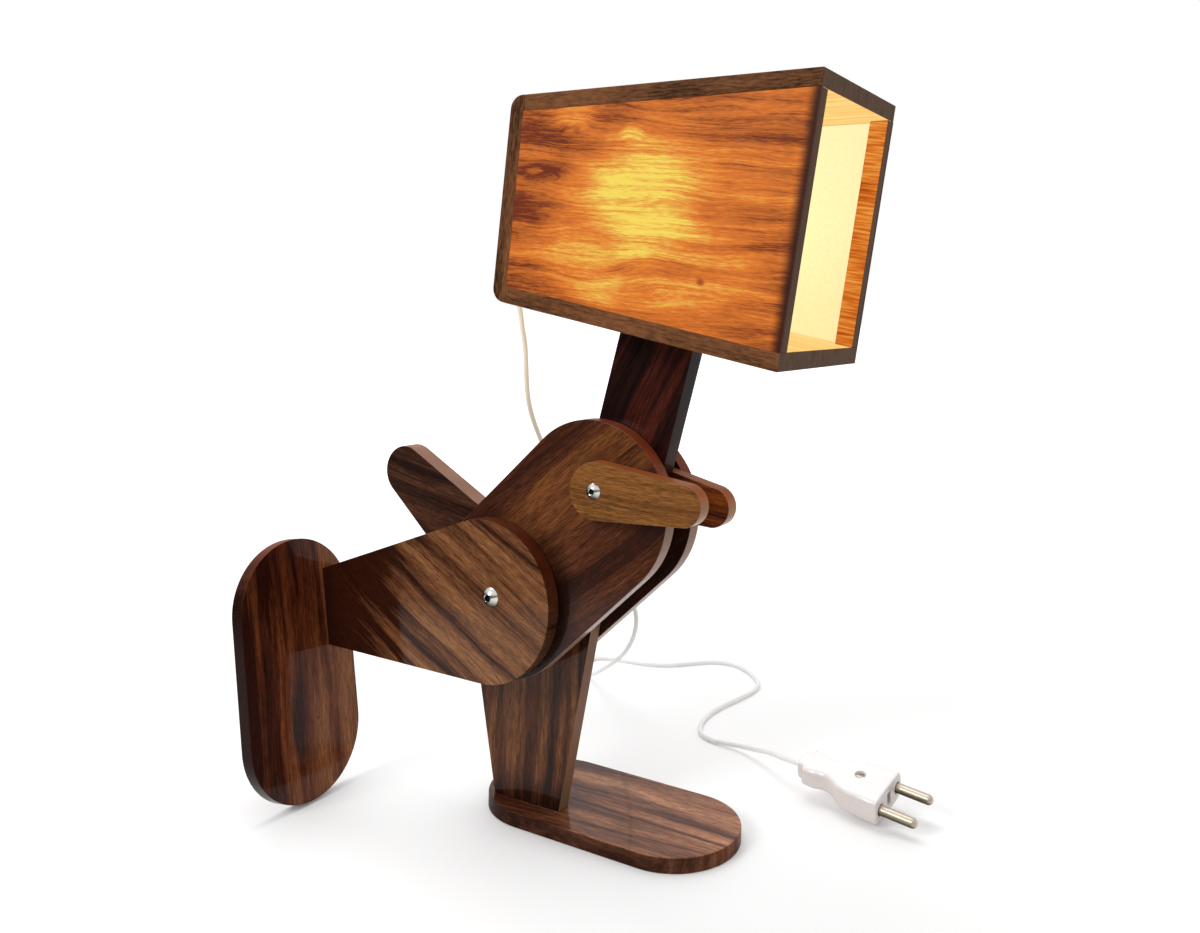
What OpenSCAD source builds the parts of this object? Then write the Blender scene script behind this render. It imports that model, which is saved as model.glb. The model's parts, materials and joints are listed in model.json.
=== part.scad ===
// Wooden robot desk lamp: a walking figure cut from planks, clamped on two bolts.
// X is the way the head looks, Y runs along both bolts, Z is up, and the sole lies at Z 0.
// The origin is on the sole of the standing foot, straight below the hip bolt.

/* [Planks] */
// Thickness of the leg, arm and torso planks
plank_t = 8; // [6:0.5:12]
// Thickness of the neck and of the tail
neck_t = 10; // [8:0.5:14]
// Thickness of the thin washer between two planks
washer_t = 0.5; // [0.3:0.1:1.5]

/* [Torso] */
// Height of the hip bolt above the floor
hip_h = 112.5; // [95:0.5:140]
// Radius of both rounded ends of a torso plate
torso_r = 40.5; // [34:0.5:48]
// Distance between the centres of the two rounded ends
torso_l = 67.4; // [50:0.1:90]
// Lean of the torso plates from level
torso_angle = 43; // [25:1:65]
// Distance from the hip bolt to the shoulder bolt
shoulder_reach = 79.6; // [60:0.1:100]
// Direction from the hip bolt to the shoulder bolt
shoulder_angle = 44.6; // [30:0.1:60]
// How far the far plate sits forward of the near one
far_plate_x = -2.5; // [-5:0.5:5]
// How far the far plate sits above the near one
far_plate_z = -4; // [-5:0.5:5]

/* [Legs] */
// Radius of the round upper end of a leg
leg_r = 38.5; // [30:0.5:45]
// How far the centre of that round lies down the leg from the bolt
leg_drop = 5; // [0:0.5:10]
// How far the centre of that round lies towards the toe
leg_shift = 2; // [0:0.5:5]
// Width of a leg where it meets its foot
ankle_w = 39; // [26:1:50]
// How far the middle of that end lies towards the toe
ankle_shift = 3.5; // [0:0.5:8]
// Length of the rear leg from the bolt to its foot
rear_leg_l = 111; // [95:0.5:130]
// How far the rear leg is swung back from hanging
rear_swing = 80.5; // [60:0.5:84]

/* [Feet] */
// Thickness of a foot
foot_t = 7; // [5:0.5:12]
// Width of the standing foot
foot_w = 65; // [50:1:80]
// Width of the rear foot
rear_foot_w = 67; // [50:1:80]
// Reach of the standing foot behind the line of its leg
heel = 27.5; // [24:0.5:45]
// Reach of the rear foot behind the line of its leg
rear_heel = 34; // [24:0.5:45]
// Reach of the standing foot ahead of the line of its leg
toe = 107; // [80:1:130]
// How far the middle of the standing foot lies outboard of its leg's middle
foot_offset = 17; // [0:0.5:24]
// How far the middle of the rear foot lies outboard of its leg's middle
rear_foot_offset = 21.5; // [0:0.5:24]

/* [Arms and tail] */
// Radius of the shoulder end of an arm
arm_r = 13; // [10:0.5:18]
// Radius of the hand end of an arm
hand_r = 9.1; // [6:0.1:14]
// Distance from the bolt to the middle of the hand
arm_l = 45.4; // [35:0.1:60]
// Droop of the near arm below level
near_droop = 2; // [-60:1:60]
// Droop of the far arm below level
far_droop = 8; // [-60:1:60]
// Radius of the tail at the hip bolt
tail_r = 23; // [18:0.5:28]
// Radius of the tail's tip
tail_tip_r = 13; // [8:0.5:18]
// Distance from the bolt to the middle of the tail's tip
tail_l = 88; // [70:1:110]
// Direction of the tail from level ahead
tail_angle = 145.5; // [120:0.5:185]

/* [Neck] */
// Width of the neck
neck_w = 39; // [30:1:50]
// Distance from the shoulder bolt to the shade, along the neck
neck_l = 75.5; // [65:0.5:110]
// Lean of the neck towards the mouth of the shade
neck_lean = 14.3; // [0:0.1:25]
// How far the middle of the neck lies ahead of the bolt
neck_shift = 3.2; // [0:0.1:6]

/* [Shade] */
// Length of the shade along its level top
shade_l = 151; // [120:1:190]
// Height of the shade's back, along the back
shade_back_h = 93; // [80:1:120]
// Height of the shade's mouth, along the mouth
shade_mouth_h = 119.3; // [105:0.1:150]
// Width of the shade over both sides
shade_w = 88; // [80:1:120]
// Lean of the shade's back
back_lean = 5.1; // [0:0.1:12]
// Lean of the shade's mouth
mouth_lean = 8.3; // [0:0.1:15]
// Thickness of the top, bottom and back boards
board_t = 7.5; // [6:0.5:10]
// Radius of the two corners of the back board
corner_r = 6.5; // [2:0.5:7]
// Thickness of the side veneers
veneer_t = 1.2; // [0.8:0.1:2]
// Thickness of the paper liner behind a veneer
liner_t = 0.6; // [0.4:0.1:1]
// Depth of the mouth stiles along the shade
stile_w = 8.5; // [5:0.5:14]
// Thickness of the mouth stiles across the shade
stile_t = 6; // [4:0.5:10]
// Distance from the shade's lower back corner to the middle of the neck
neck_seat = 68.9; // [45:0.1:90]

/* [Bolts] */
// Diameter of the hip bolt
hip_bolt_d = 5; // [4:0.5:6]
// Diameter of the hip bolt's button head
hip_head_d = 9.5; // [8:0.5:12]
// Height of the hip bolt's button head
hip_head_h = 2.75; // [2:0.05:3.5]
// Diameter of the shoulder bolt
shoulder_bolt_d = 4; // [3:0.5:5]
// Diameter of the shoulder bolt's button head
shoulder_head_d = 7.6; // [6:0.1:10]
// Height of the shoulder bolt's button head
shoulder_head_h = 2.2; // [1.6:0.1:3]
// Running clearance of a plank on its bolt, all round
run_gap = 0.08; // [0.02:0.01:0.1]
// Clearance of a fixed screw in its hole, all round
screw_gap = 0.05; // [0.02:0.01:0.2]

/* [Lamp holder and bulb] */
// Distance from the shade's lower back corner up to the holder's axis, along the back
holder_up = 50; // [42:1:60]
// Diameter of the holder's screwed-down base
holder_base_d = 46; // [42:1:56]
// Thickness of the holder's base
holder_base_t = 6; // [4:0.5:10]
// Outer diameter of the holder's barrel
barrel_d = 36; // [34:1:37]
// Length of the holder's barrel
barrel_l = 28; // [24:1:34]
// Diameter of the bulb's metal cap
cap_d = 26; // [24:0.5:27]
// Diameter of the bulb's globe
globe_d = 55; // [45:1:60]
// Length of the bulb ahead of the holder
bulb_l = 64; // [58:1:75]

/* [Cord and plug] */
// Diameter of the cord
cord_d = 2.6; // [2:0.2:5]
// Distance from the shade's lower back corner up to the cord's hole, along the back
cord_up = 16; // [14:1:18]
// Length of the strain relief outside the back board
relief_l = 20; // [20:1:30]
// Diameter of a plug pin
pin_d = 5; // [4:0.1:5.1]
// Length of a plug pin outside the plug
pin_l = 19; // [15:0.5:19]
// Distance between the plug pins
pin_pitch = 19; // [18:0.5:20]
// Length of the plug's body
plug_l = 49; // [40:1:60]
// Width of the plug's body at the pins
plug_w = 29.5; // [27:0.5:36]
// Thickness of the plug's body at the pins
plug_t = 15; // [12:0.5:18]

/* [Hidden] */
$fn = 96;

// Colours
rosewood = "#5a2e1a";
teak = "#8a4f26";
veneer_glow = "#d9822b";
cream = "#f6eccb";
steel = "#c8c8c8";
brass = "#c9a24a";
ivory = "#efefec";
milk = "#fbf7ea";

// Layers of planks along the bolts: low face of each, from the near side to the far side
gap_w = neck_t + plank_t + 3 * washer_t;
y_near_plate = -gap_w / 2 - plank_t;
y_outer = y_near_plate - washer_t - plank_t;
y_middle = -gap_w / 2 + washer_t;
y_inner = y_middle + neck_t + washer_t;
y_far_plate = gap_w / 2;
y_far_face = y_far_plate + plank_t;

// The two bolts
hip = [0, hip_h];
shoulder = hip + shoulder_reach * [cos(shoulder_angle), sin(shoulder_angle)];
nut_washer_t = 1;
hip_nut_t = 4;
shoulder_nut_t = 3.2;
bolt_end = 1.5;
cut = 1;

// How far a straight side starts inside the round end that it touches
tuck = 0.002;

// Feet: the rear toe is as long as it must be to touch the floor
leg_l = hip_h - foot_t;
rear_toe = (hip_h - (rear_leg_l + foot_t) * cos(rear_swing)) / sin(rear_swing);
y_leg_middle = y_inner + plank_t / 2;
y_rear_middle = y_outer + plank_t / 2;
foot_screw_d = 4;
foot_screw_l = 28;
foot_screw_head_d = 8;
foot_screw_head_h = 2.4;
foot_screw_pitch = ankle_w / 2;

// Shade: the four corners of its side, from the neck upwards
function unit(v) = v / norm(v);
function cross2(a, b) = a[0] * b[1] - a[1] * b[0];
function meet(p, u, q, v) = p + u * cross2(q - p, v) / cross2(u, v);
function turned(v, a) = [v[0] * cos(a) - v[1] * sin(a), v[0] * sin(a) + v[1] * cos(a)];
function at2(p, y) = [p[0], y, p[1]];

level = [1, 0];
back_dir = [sin(back_lean), cos(back_lean)];
mouth_dir = [sin(mouth_lean), cos(mouth_lean)];
back_drop = -shade_back_h * back_dir;
mouth_foot = shade_l * level - shade_mouth_h * mouth_dir;
floor_dir = unit(mouth_foot - back_drop);
neck_dir = [sin(neck_lean), cos(neck_lean)];
neck_side = [cos(neck_lean), -sin(neck_lean)];
neck_foot = shoulder + neck_shift * neck_side;
neck_top = neck_foot + neck_l * neck_dir;
low_back = neck_top - neck_seat * floor_dir;
top_back = low_back - back_drop;
top_mouth = top_back + shade_l * level;
low_mouth = top_back + mouth_foot;

// Inner faces of the boards
back_in = [back_dir[1], -back_dir[0]];
floor_in = [-floor_dir[1], floor_dir[0]];
mouth_in = [-mouth_dir[1], mouth_dir[0]];
back_line = low_back + board_t * back_in;
top_line = top_back - [0, board_t];
floor_line = low_back + board_t * floor_in;
stile_line = low_mouth + stile_w * mouth_in;
back_board_low = meet(back_line, back_dir, low_back, floor_dir);
back_board_top = meet(back_line, back_dir, top_back, level);
room_top_back = meet(back_line, back_dir, top_line, level);
room_top_mouth = meet(low_mouth, mouth_dir, top_line, level);
room_low_back = meet(back_line, back_dir, floor_line, floor_dir);
room_low_mouth = meet(low_mouth, mouth_dir, floor_line, floor_dir);
stile_top = meet(stile_line, mouth_dir, top_line, level);
stile_low = meet(stile_line, mouth_dir, floor_line, floor_dir);
y_veneer = shade_w / 2 - veneer_t;
y_liner = y_veneer - liner_t;
y_stile = y_veneer - stile_t;

// Screws that hold the shade on the neck
neck_screw_d = 3.5;
neck_screw_l = 32;
neck_screw_head_d = 7;
neck_screw_head_h = 2;
neck_screw_pitch = neck_w / 2;

// Lamp holder and bulb, along the holder's axis, which stands square on the back board
holder_foot = low_back + holder_up * back_dir + board_t * back_in;
holder_tilt = 90 + back_lean;
barrel_wall = 4;
contact_d = 9;
contact_t = 2;
cap_gap = 0.3;
cap_l = barrel_l - contact_t - 1;
collar_l = 22;
collar_wall = 3;
shell_t = 1;
globe_r = globe_d / 2;
globe_up = cap_l + bulb_l - globe_r;
collar_d = 2 * sqrt(globe_r * globe_r - pow(globe_up - cap_l - collar_l, 2));
holder_screw_d = 3;
holder_screw_l = 11;
holder_screw_head_d = 4.4;
holder_screw_head_h = 1.6;

// Cord: strain relief in the back board, and the lead from it to the holder
cord_hole = low_back + cord_up * back_dir + board_t * back_in;
relief_d = 8;
relief_tip_d = 4.6;
relief_flange_d = 11;
relief_flange_t = 1.5;
lead_d = 2.6;
lead_bend = 5;
lead_tail = 4;

// Route of the cord from the strain relief to the plug; the drop ends at the ring with split_ring
cord_route = [
    [-7, 0, 271], [-12, 0.8, 270.8], [-18, 4, 268.5], [-21.5, 9.5, 263], [-23, 15, 256], [-22, 18, 249],
    [-22, 21, 238], [-22, 24, 227], [-23, 29, 200], [-23, 40, 179], [-20, 52, 159], [-14, 65, 140],
    [-3, 85, 105], [3, 98, 80], [-1, 108, 64], [-14, 121, 46], [-33, 137, 30], [-58, 158, 13],
    [-72, 170, 5], [-84, 181, 2], [-91.5, 190.5, 1.5], [-94, 200.5, 1.5], [-89, 208.5, 1.5], [-77, 212, 1.5],
    [-58, 215, 1.5], [-42, 222, 1.5], [-21, 243, 1.5], [-5, 247, 1.5], [11, 239, 1.5], [24, 225, 1.5],
    [28, 211, 1.5], [26, 192, 1.5], [23, 176, 1.5], [22, 161, 1.5], [24, 146, 1.5], [30, 133, 1.5],
    [40, 127, 1.5], [50, 126, 2], [60, 124, 3.5], [72, 118, 6.5], [85, 110, 10.5], [97, 102, 13],
    [110, 98, 14]
];
ring_steps = 2;
split_point = 11;
cord_sides = 8;

// Plug: where it lies, and its sections along the body
plug_at = [157.4, 92.4, 10.9];
plug_turn = [13, 4, -6.5];
plug_nose_l = 4;
plug_nose_w = 12;
plug_grip_l = 9;
plug_grip_w = 18.5;
plug_grip_t = 12.5;
plug_waist_w = 16;
plug_flange_l = 14;
plug_edge_r = 2;
pin_sunk = 9;
plug_screw_x = -15.5;
plug_screw_d = 3;
plug_screw_head_d = 5.4;
plug_recess = 1.5;
plug_screw_head_h = 1.5;
plug_screw_slot = 0.8;
plug_screw_floor = 3;

// ---- Shared shapes ----

// A flat outline in X and Z, cut from a plank whose low face is at y
module plank(y, t) {
    translate([0, y + t, 0]) rotate([90, 0, 0]) linear_extrude(t) children();
}

// A bore along Y at a point of the X-Z plane, through every layer
module bore(p, d) {
    span = y_far_face - y_outer;
    translate(at2(p, y_outer - cut)) rotate([-90, 0, 0]) cylinder(d = d, h = span + 2 * cut);
}

// A rod along Y from y0 to y1
module rod(p, d, y0, y1) {
    translate(at2(p, y0)) rotate([-90, 0, 0]) cylinder(d = d, h = y1 - y0);
}

// Two circles of different size, joined by their outer tangents
module bar(p0, r0, p1, r1) {
    u = unit(p1 - p0);
    a = acos((r0 - r1) / norm(p1 - p0));
    translate(p0) circle(r0);
    translate(p1) circle(r1);
    polygon([
        p0 + (r0 - tuck) * turned(u, a), p0 - r0 / 2 * u, p0 + (r0 - tuck) * turned(u, -a),
        p1 + (r1 - tuck) * turned(u, -a), p1 + r1 / 2 * u, p1 + (r1 - tuck) * turned(u, a)
    ]);
}

// Where the tangent from a point meets a circle, a hair inside it; side is 1 or -1
function touch(p, c, r, side) = c + (r - tuck) * turned(unit(p - c), side * acos(r / norm(p - c)));

// A leg that hangs from the origin: a round hip and straight sides down to a square end
module leg_outline(l) {
    c = [leg_shift, -leg_drop];
    front = [ankle_shift + ankle_w / 2, -l];
    rear = [ankle_shift - ankle_w / 2, -l];
    translate(c) circle(leg_r);
    polygon([touch(rear, c, leg_r, -1), rear, front, touch(front, c, leg_r, 1)]);
}

// The sole of a foot seen from above, with both ends fully round
module sole(heel_l, toe_l, w, y) {
    r = w / 2;
    translate([r - heel_l, y]) circle(r);
    translate([toe_l - r, y]) circle(r);
    translate([r - heel_l, y - r]) square([toe_l + heel_l - w, w]);
}

// Clearance hole and countersink for one screw that points up from z
module screw_hole(d, head_d, head_h, l) {
    translate([0, 0, -cut]) cylinder(d = d + 2 * screw_gap, h = l + cut + screw_gap);
    cylinder(d1 = head_d + 2 * screw_gap, d2 = d + 2 * screw_gap, h = head_h);
    translate([0, 0, -cut]) cylinder(d = head_d + 2 * screw_gap, h = cut);
}

// One countersunk screw that points up from z, with a cross slot
module screw(d, head_d, head_h, l) {
    slot_w = d / 4;
    difference() {
        union() {
            cylinder(d = d, h = l);
            cylinder(d1 = head_d, d2 = d, h = head_h);
        }
        for (a = [0, 90]) {
            rotate([0, 0, a]) cube([head_d * 0.6, slot_w, head_h], center = true);
        }
    }
}

// Places two screws along X at the end of a leg whose sole face is at z -l
module foot_screw_places(l, y) {
    for (side = [-1, 1]) {
        translate([ankle_shift + side * foot_screw_pitch / 2, y, -l - foot_t]) children();
    }
}

// A foot of a given sole for a leg of length l, in the hip's own frame
module foot(l, y) {
    difference() {
        translate([0, y, -l - foot_t]) linear_extrude(foot_t) children();
        foot_screw_places(l, y) {
            screw_hole(foot_screw_d, foot_screw_head_d, foot_screw_head_h, foot_screw_l);
        }
    }
}

// A leg of length l in the hip's own frame, bored for the bolt and for its foot's screws
module leg(l, y) {
    difference() {
        plank(y, plank_t) leg_outline(l);
        bore([0, 0], hip_bolt_d + 2 * run_gap);
        foot_screw_places(l, y + plank_t / 2) {
            screw_hole(foot_screw_d, foot_screw_head_d, foot_screw_head_h, foot_screw_l);
        }
    }
}

module foot_screw_pair(l, y) {
    foot_screw_places(l, y) screw(foot_screw_d, foot_screw_head_d, foot_screw_head_h, foot_screw_l);
}

module at_hip(turn) {
    translate(at2(hip, 0)) rotate([0, turn, 0]) children();
}

module at_shoulder(turn) {
    translate(at2(shoulder, 0)) rotate([0, turn, 0]) children();
}

// A torso plate, whose outline may sit a little off its two bores
module torso_plate(y, offset_x, offset_z) {
    shift = [offset_x, offset_z];
    upper = hip + torso_l * [cos(torso_angle), sin(torso_angle)];
    difference() {
        plank(y, plank_t) bar(hip + shift, torso_r, upper + shift, torso_r);
        bore(hip, hip_bolt_d + 2 * screw_gap);
        bore(shoulder, shoulder_bolt_d + 2 * screw_gap);
    }
}

module arm(y, droop) {
    at_shoulder(droop) {
        difference() {
            plank(y, plank_t) bar([0, 0], arm_r, [arm_l, 0], hand_r);
            bore([0, 0], shoulder_bolt_d + 2 * run_gap);
        }
    }
}

// A button-head bolt along Y: domed head with a hex socket on the near side
module button_bolt(p, d, head_d, head_h, socket, y1) {
    ball_r = (head_d * head_d / 4 + head_h * head_h) / (2 * head_h);
    y0 = y_outer;
    difference() {
        union() {
            rod(p, d, y0 - cut / 2, y1);
            intersection() {
                rod(p, head_d, y0 - head_h, y0);
                translate(at2(p, y0 - head_h + ball_r)) sphere(ball_r);
            }
        }
        translate(at2(p, y0 - head_h - cut)) rotate([-90, 0, 0]) {
            cylinder(d = socket / cos(30), h = cut + head_h * 0.65, $fn = 6);
        }
    }
}

module hex_nut(p, flats, d, y0, t) {
    difference() {
        translate(at2(p, y0)) rotate([-90, 0, 0]) cylinder(d = flats / cos(30), h = t, $fn = 6);
        bore_cut = d + 2 * screw_gap;
        translate(at2(p, y0 - cut)) rotate([-90, 0, 0]) cylinder(d = bore_cut, h = t + 2 * cut);
    }
}

module ring_washer(p, outer_d, inner_d, y0, t) {
    difference() {
        rod(p, outer_d, y0, y0 + t);
        rod(p, inner_d + 2 * screw_gap, y0 - cut, y0 + t + cut);
    }
}

// The thin washers between the five layers, and the thicker one under the nut
module washer_set(p, d) {
    for (y = [y_near_plate, y_middle, y_inner, y_far_plate]) {
        ring_washer(p, 3 * d, d, y - washer_t, washer_t);
    }
    ring_washer(p, 2.4 * d, d, y_far_face, nut_washer_t);
}

// One flat panel in the X-Z plane between two Y values
module panel(points, y0, y1) {
    plank(y0, y1 - y0) polygon(points);
}

// Frame whose Z runs out of the back board's inner face, along the holder's axis
module at_back(p) {
    translate(at2(p, 0)) rotate([0, holder_tilt, 0]) children();
}

// Frame whose Z runs up the neck, square on the shade's floor, at the neck's top
module on_shade_floor() {
    seat = neck_top + board_t * floor_in;
    slope = atan2(-floor_dir[1], floor_dir[0]);
    translate(at2(seat, y_middle + neck_t / 2)) rotate([0, slope, 0]) children();
}

module neck_screw_places() {
    on_shade_floor() {
        for (side = [-1, 1]) {
            translate([side * neck_screw_pitch / 2, 0, 0]) rotate([180, 0, 0]) children();
        }
    }
}

// Points on a smooth line through the route, ring_steps to each stretch
function blend_point(a, b, c, d, t) =
    (2 * b + (c - a) * t + (2 * a - 5 * b + 4 * c - d) * t * t
        + (3 * b - a - 3 * c + d) * t * t * t) / 2;
function route_point(route, i, t) =
    let (last = len(route) - 1)
    blend_point(route[max(i - 1, 0)], route[i], route[min(i + 1, last)], route[min(i + 2, last)], t);
function smooth_route(route) = [
    for (i = [0 : len(route) - 2]) for (s = [0 : ring_steps - 1]) route_point(route, i, s / ring_steps),
    route[len(route) - 1]
];
function heading(line, i) = unit(line[min(i + 1, len(line) - 1)] - line[max(i - 1, 0)]);
function ring_at(line, i, r) =
    let (ahead = heading(line, i))
    let (across = unit(cross(ahead, [1, 1, 1.4])))
    let (up = cross(across, ahead))
    [for (k = [0 : cord_sides - 1]) line[i]
        + r * (cos(360 * k / cord_sides) * across + sin(360 * k / cord_sides) * up)];

// A closed tube along the rings first to last of a line
module tube(line, first, last, r) {
    n = cord_sides;
    rings = last - first;
    points = [for (i = [first : last]) each ring_at(line, i, r)];
    walls = [for (i = [0 : rings - 1]) for (k = [0 : n - 1]) for (half = [0, 1])
        let (a = i * n + k)
        let (b = i * n + (k + 1) % n)
        half == 0 ? [a, b, b + n] : [a, b + n, a + n]];
    start_cap = [[for (k = [n - 1 : -1 : 0]) k]];
    end_cap = [[for (k = [0 : n - 1]) rings * n + k]];
    polyhedron(points, concat(walls, start_cap, end_cap));
}

// ---- Standing leg ----

module standing_foot() {
    color(rosewood) at_hip(0) {
        foot(leg_l, y_leg_middle) sole(heel, toe, foot_w, foot_offset);
    }
}

module standing_leg() {
    color(rosewood) at_hip(0) leg(leg_l, y_inner);
}

module foot_screws() {
    color(steel) at_hip(0) foot_screw_pair(leg_l, y_leg_middle);
}

// ---- Rear leg ----

module rear_foot() {
    color(rosewood) at_hip(rear_swing) {
        foot(rear_leg_l, y_rear_middle) sole(rear_heel, rear_toe, rear_foot_w, -rear_foot_offset);
    }
}

module rear_leg() {
    color(rosewood) at_hip(rear_swing) leg(rear_leg_l, y_outer);
}

module rear_foot_screws() {
    color(steel) at_hip(rear_swing) foot_screw_pair(rear_leg_l, y_rear_middle);
}

// ---- Torso, tail and arms ----

module torso_near() {
    color(rosewood) torso_plate(y_near_plate, 0, 0);
}

module torso_far() {
    color(rosewood) torso_plate(y_far_plate, far_plate_x, far_plate_z);
}

module tail() {
    color(rosewood) at_hip(-tail_angle) {
        difference() {
            plank(y_middle, neck_t) bar([0, 0], tail_r, [tail_l, 0], tail_tip_r);
            bore([0, 0], hip_bolt_d + 2 * run_gap);
        }
    }
}

module arm_near() {
    color(teak) arm(y_outer, near_droop);
}

module arm_far() {
    color(teak) arm(y_inner, far_droop);
}

// ---- Bolts ----

module hip_bolt() {
    end = y_far_face + nut_washer_t + hip_nut_t + bolt_end;
    color(steel) button_bolt(hip, hip_bolt_d, hip_head_d, hip_head_h, 0.6 * hip_bolt_d, end);
}

module hip_nut() {
    color(steel) hex_nut(hip, 1.6 * hip_bolt_d, hip_bolt_d, y_far_face + nut_washer_t, hip_nut_t);
}

module hip_washers() {
    color(steel) washer_set(hip, hip_bolt_d);
}

module shoulder_bolt() {
    end = y_far_face + nut_washer_t + shoulder_nut_t + bolt_end;
    color(steel) {
        button_bolt(shoulder, shoulder_bolt_d, shoulder_head_d, shoulder_head_h, 0.6 * shoulder_bolt_d, end);
    }
}

module shoulder_nut() {
    color(steel) {
        hex_nut(shoulder, 1.75 * shoulder_bolt_d, shoulder_bolt_d, y_far_face + nut_washer_t, shoulder_nut_t);
    }
}

module shoulder_washers() {
    color(steel) washer_set(shoulder, shoulder_bolt_d);
}

// ---- Neck ----

// The neck's outline: round below the bolt and cut to the slope of the shade's floor
module neck_outline() {
    half = neck_w / 2 * neck_side;
    left = meet(neck_foot - half, neck_dir, low_back, floor_dir);
    right = meet(neck_foot + half, neck_dir, low_back, floor_dir);
    translate(neck_foot) circle(neck_w / 2);
    polygon([neck_foot - half, neck_foot + half, right, left]);
}

module neck() {
    color(rosewood) difference() {
        plank(y_middle, neck_t) neck_outline();
        bore(shoulder, shoulder_bolt_d + 2 * run_gap);
        neck_screw_places() screw_hole(neck_screw_d, neck_screw_head_d, neck_screw_head_h, neck_screw_l);
    }
}

module neck_screws() {
    color(steel) neck_screw_places() screw(neck_screw_d, neck_screw_head_d, neck_screw_head_h, neck_screw_l);
}

// ---- Shade ----

module shade_top() {
    color(rosewood) {
        panel([back_board_top, top_mouth, room_top_mouth, room_top_back], -shade_w / 2, shade_w / 2);
    }
}

module shade_bottom() {
    color(rosewood) difference() {
        panel([back_board_low, low_mouth, room_low_mouth, room_low_back], -shade_w / 2, shade_w / 2);
        neck_screw_places() screw_hole(neck_screw_d, neck_screw_head_d, neck_screw_head_h, neck_screw_l);
    }
}

// The back board runs past the ends of the other two, with its outer corners rounded
module back_outline() {
    r = corner_r;
    low_c = meet(low_back + r * back_in, back_dir, low_back + r * floor_in, floor_dir);
    top_c = meet(low_back + r * back_in, back_dir, top_back - [0, r], level);
    intersection() {
        polygon([low_back, back_board_low, back_board_top, top_back]);
        union() {
            translate(low_c) circle(r);
            translate(top_c) circle(r);
            polygon([
                low_c - r * back_in, low_c - r * floor_in, back_board_low,
                back_board_top, top_c + [0, r], top_c - r * back_in
            ]);
        }
    }
}

module shade_back() {
    color(rosewood) difference() {
        plank(-shade_w / 2, shade_w) back_outline();
        at_back(cord_hole) translate([0, 0, -board_t - cut]) cylinder(d = relief_d, h = board_t + 2 * cut);
        holder_screw_places() screw_hole_back();
    }
}

module veneer(y0, y1) {
    panel([room_low_back, room_low_mouth, room_top_mouth, room_top_back], y0, y1);
}

module veneer_near() {
    color(veneer_glow) veneer(-shade_w / 2, -y_veneer);
}

module veneer_far() {
    color(veneer_glow) veneer(y_veneer, shade_w / 2);
}

module stile(y0, y1) {
    panel([stile_low, room_low_mouth, room_top_mouth, stile_top], y0, y1);
}

module stile_near() {
    color(rosewood) stile(-y_veneer, -y_stile);
}

module stile_far() {
    color(rosewood) stile(y_stile, y_veneer);
}

module liner(y0, y1) {
    panel([room_low_back, stile_low, stile_top, room_top_back], y0, y1);
}

module liner_near() {
    color(cream) liner(-y_veneer, -y_liner);
}

module liner_far() {
    color(cream) liner(y_liner, y_veneer);
}

// ---- Lamp holder and bulb ----

module holder_screw_places() {
    place = (barrel_d + holder_base_d) / 4;
    at_back(holder_foot) {
        for (side = [-1, 1]) {
            translate([0, side * place, holder_base_t]) rotate([180, 0, 0]) children();
        }
    }
}

module screw_hole_back() {
    translate([0, 0, -cut]) cylinder(d = holder_screw_d + 2 * screw_gap, h = holder_screw_l + cut + screw_gap);
}

module holder_base() {
    color(ivory) difference() {
        at_back(holder_foot) cylinder(d = holder_base_d, h = holder_base_t);
        holder_screw_places() screw_hole_back();
    }
}

module holder_screws() {
    color(steel) holder_screw_places() {
        cylinder(d = holder_screw_d, h = holder_screw_l);
        translate([0, 0, -holder_screw_head_h]) {
            cylinder(d1 = holder_screw_head_d * 0.7, d2 = holder_screw_head_d, h = holder_screw_head_h);
        }
    }
}

module holder_barrel() {
    color(ivory) at_back(holder_foot) translate([0, 0, holder_base_t]) {
        difference() {
            cylinder(d = barrel_d, h = barrel_l);
            translate([0, 0, barrel_wall / 2]) cylinder(d = cap_d + 2 * cap_gap, h = barrel_l);
            translate([0, 0, -cut]) cylinder(d = contact_d + 2 * screw_gap, h = barrel_wall);
        }
    }
}

module holder_contact() {
    color(brass) at_back(holder_foot) translate([0, 0, holder_base_t]) {
        cylinder(d = contact_d, h = barrel_wall / 2 + contact_t);
    }
}

// The bulb's frame starts on the contact
module at_bulb() {
    start = holder_base_t + barrel_wall / 2 + contact_t;
    at_back(holder_foot) translate([0, 0, start]) children();
}

module bulb_cap() {
    color(steel) at_bulb() difference() {
        union() {
            cylinder(d1 = contact_d, d2 = cap_d, h = contact_t);
            translate([0, 0, contact_t]) cylinder(d = cap_d, h = cap_l - contact_t);
        }
        translate([0, 0, contact_t + shell_t]) cylinder(d = cap_d - 2 * shell_t, h = cap_l);
    }
}

module bulb_collar() {
    inner_d = cap_d - 2 * collar_wall;
    color(ivory) at_bulb() translate([0, 0, cap_l]) difference() {
        cylinder(d1 = cap_d, d2 = collar_d, h = collar_l);
        translate([0, 0, collar_wall]) cylinder(d = inner_d, h = collar_l);
    }
}

module bulb_globe() {
    color(milk) at_bulb() difference() {
        translate([0, 0, globe_up]) sphere(globe_r);
        translate([0, 0, cap_l]) cylinder(d = globe_d, h = collar_l);
        translate([0, 0, globe_up]) sphere(globe_r - shell_t);
    }
}

// ---- Cord ----

module strain_relief() {
    color(ivory) at_back(cord_hole) difference() {
        union() {
            cylinder(d = relief_flange_d, h = relief_flange_t);
            translate([0, 0, -board_t]) cylinder(d = relief_d, h = board_t);
            translate([0, 0, -board_t - relief_l]) cylinder(d1 = relief_tip_d, d2 = relief_d, h = relief_l);
        }
        translate([0, 0, -board_t - relief_l - cut]) {
            cylinder(d = cord_d, h = relief_l + board_t + relief_flange_t + 2 * cut);
        }
    }
}

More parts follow.
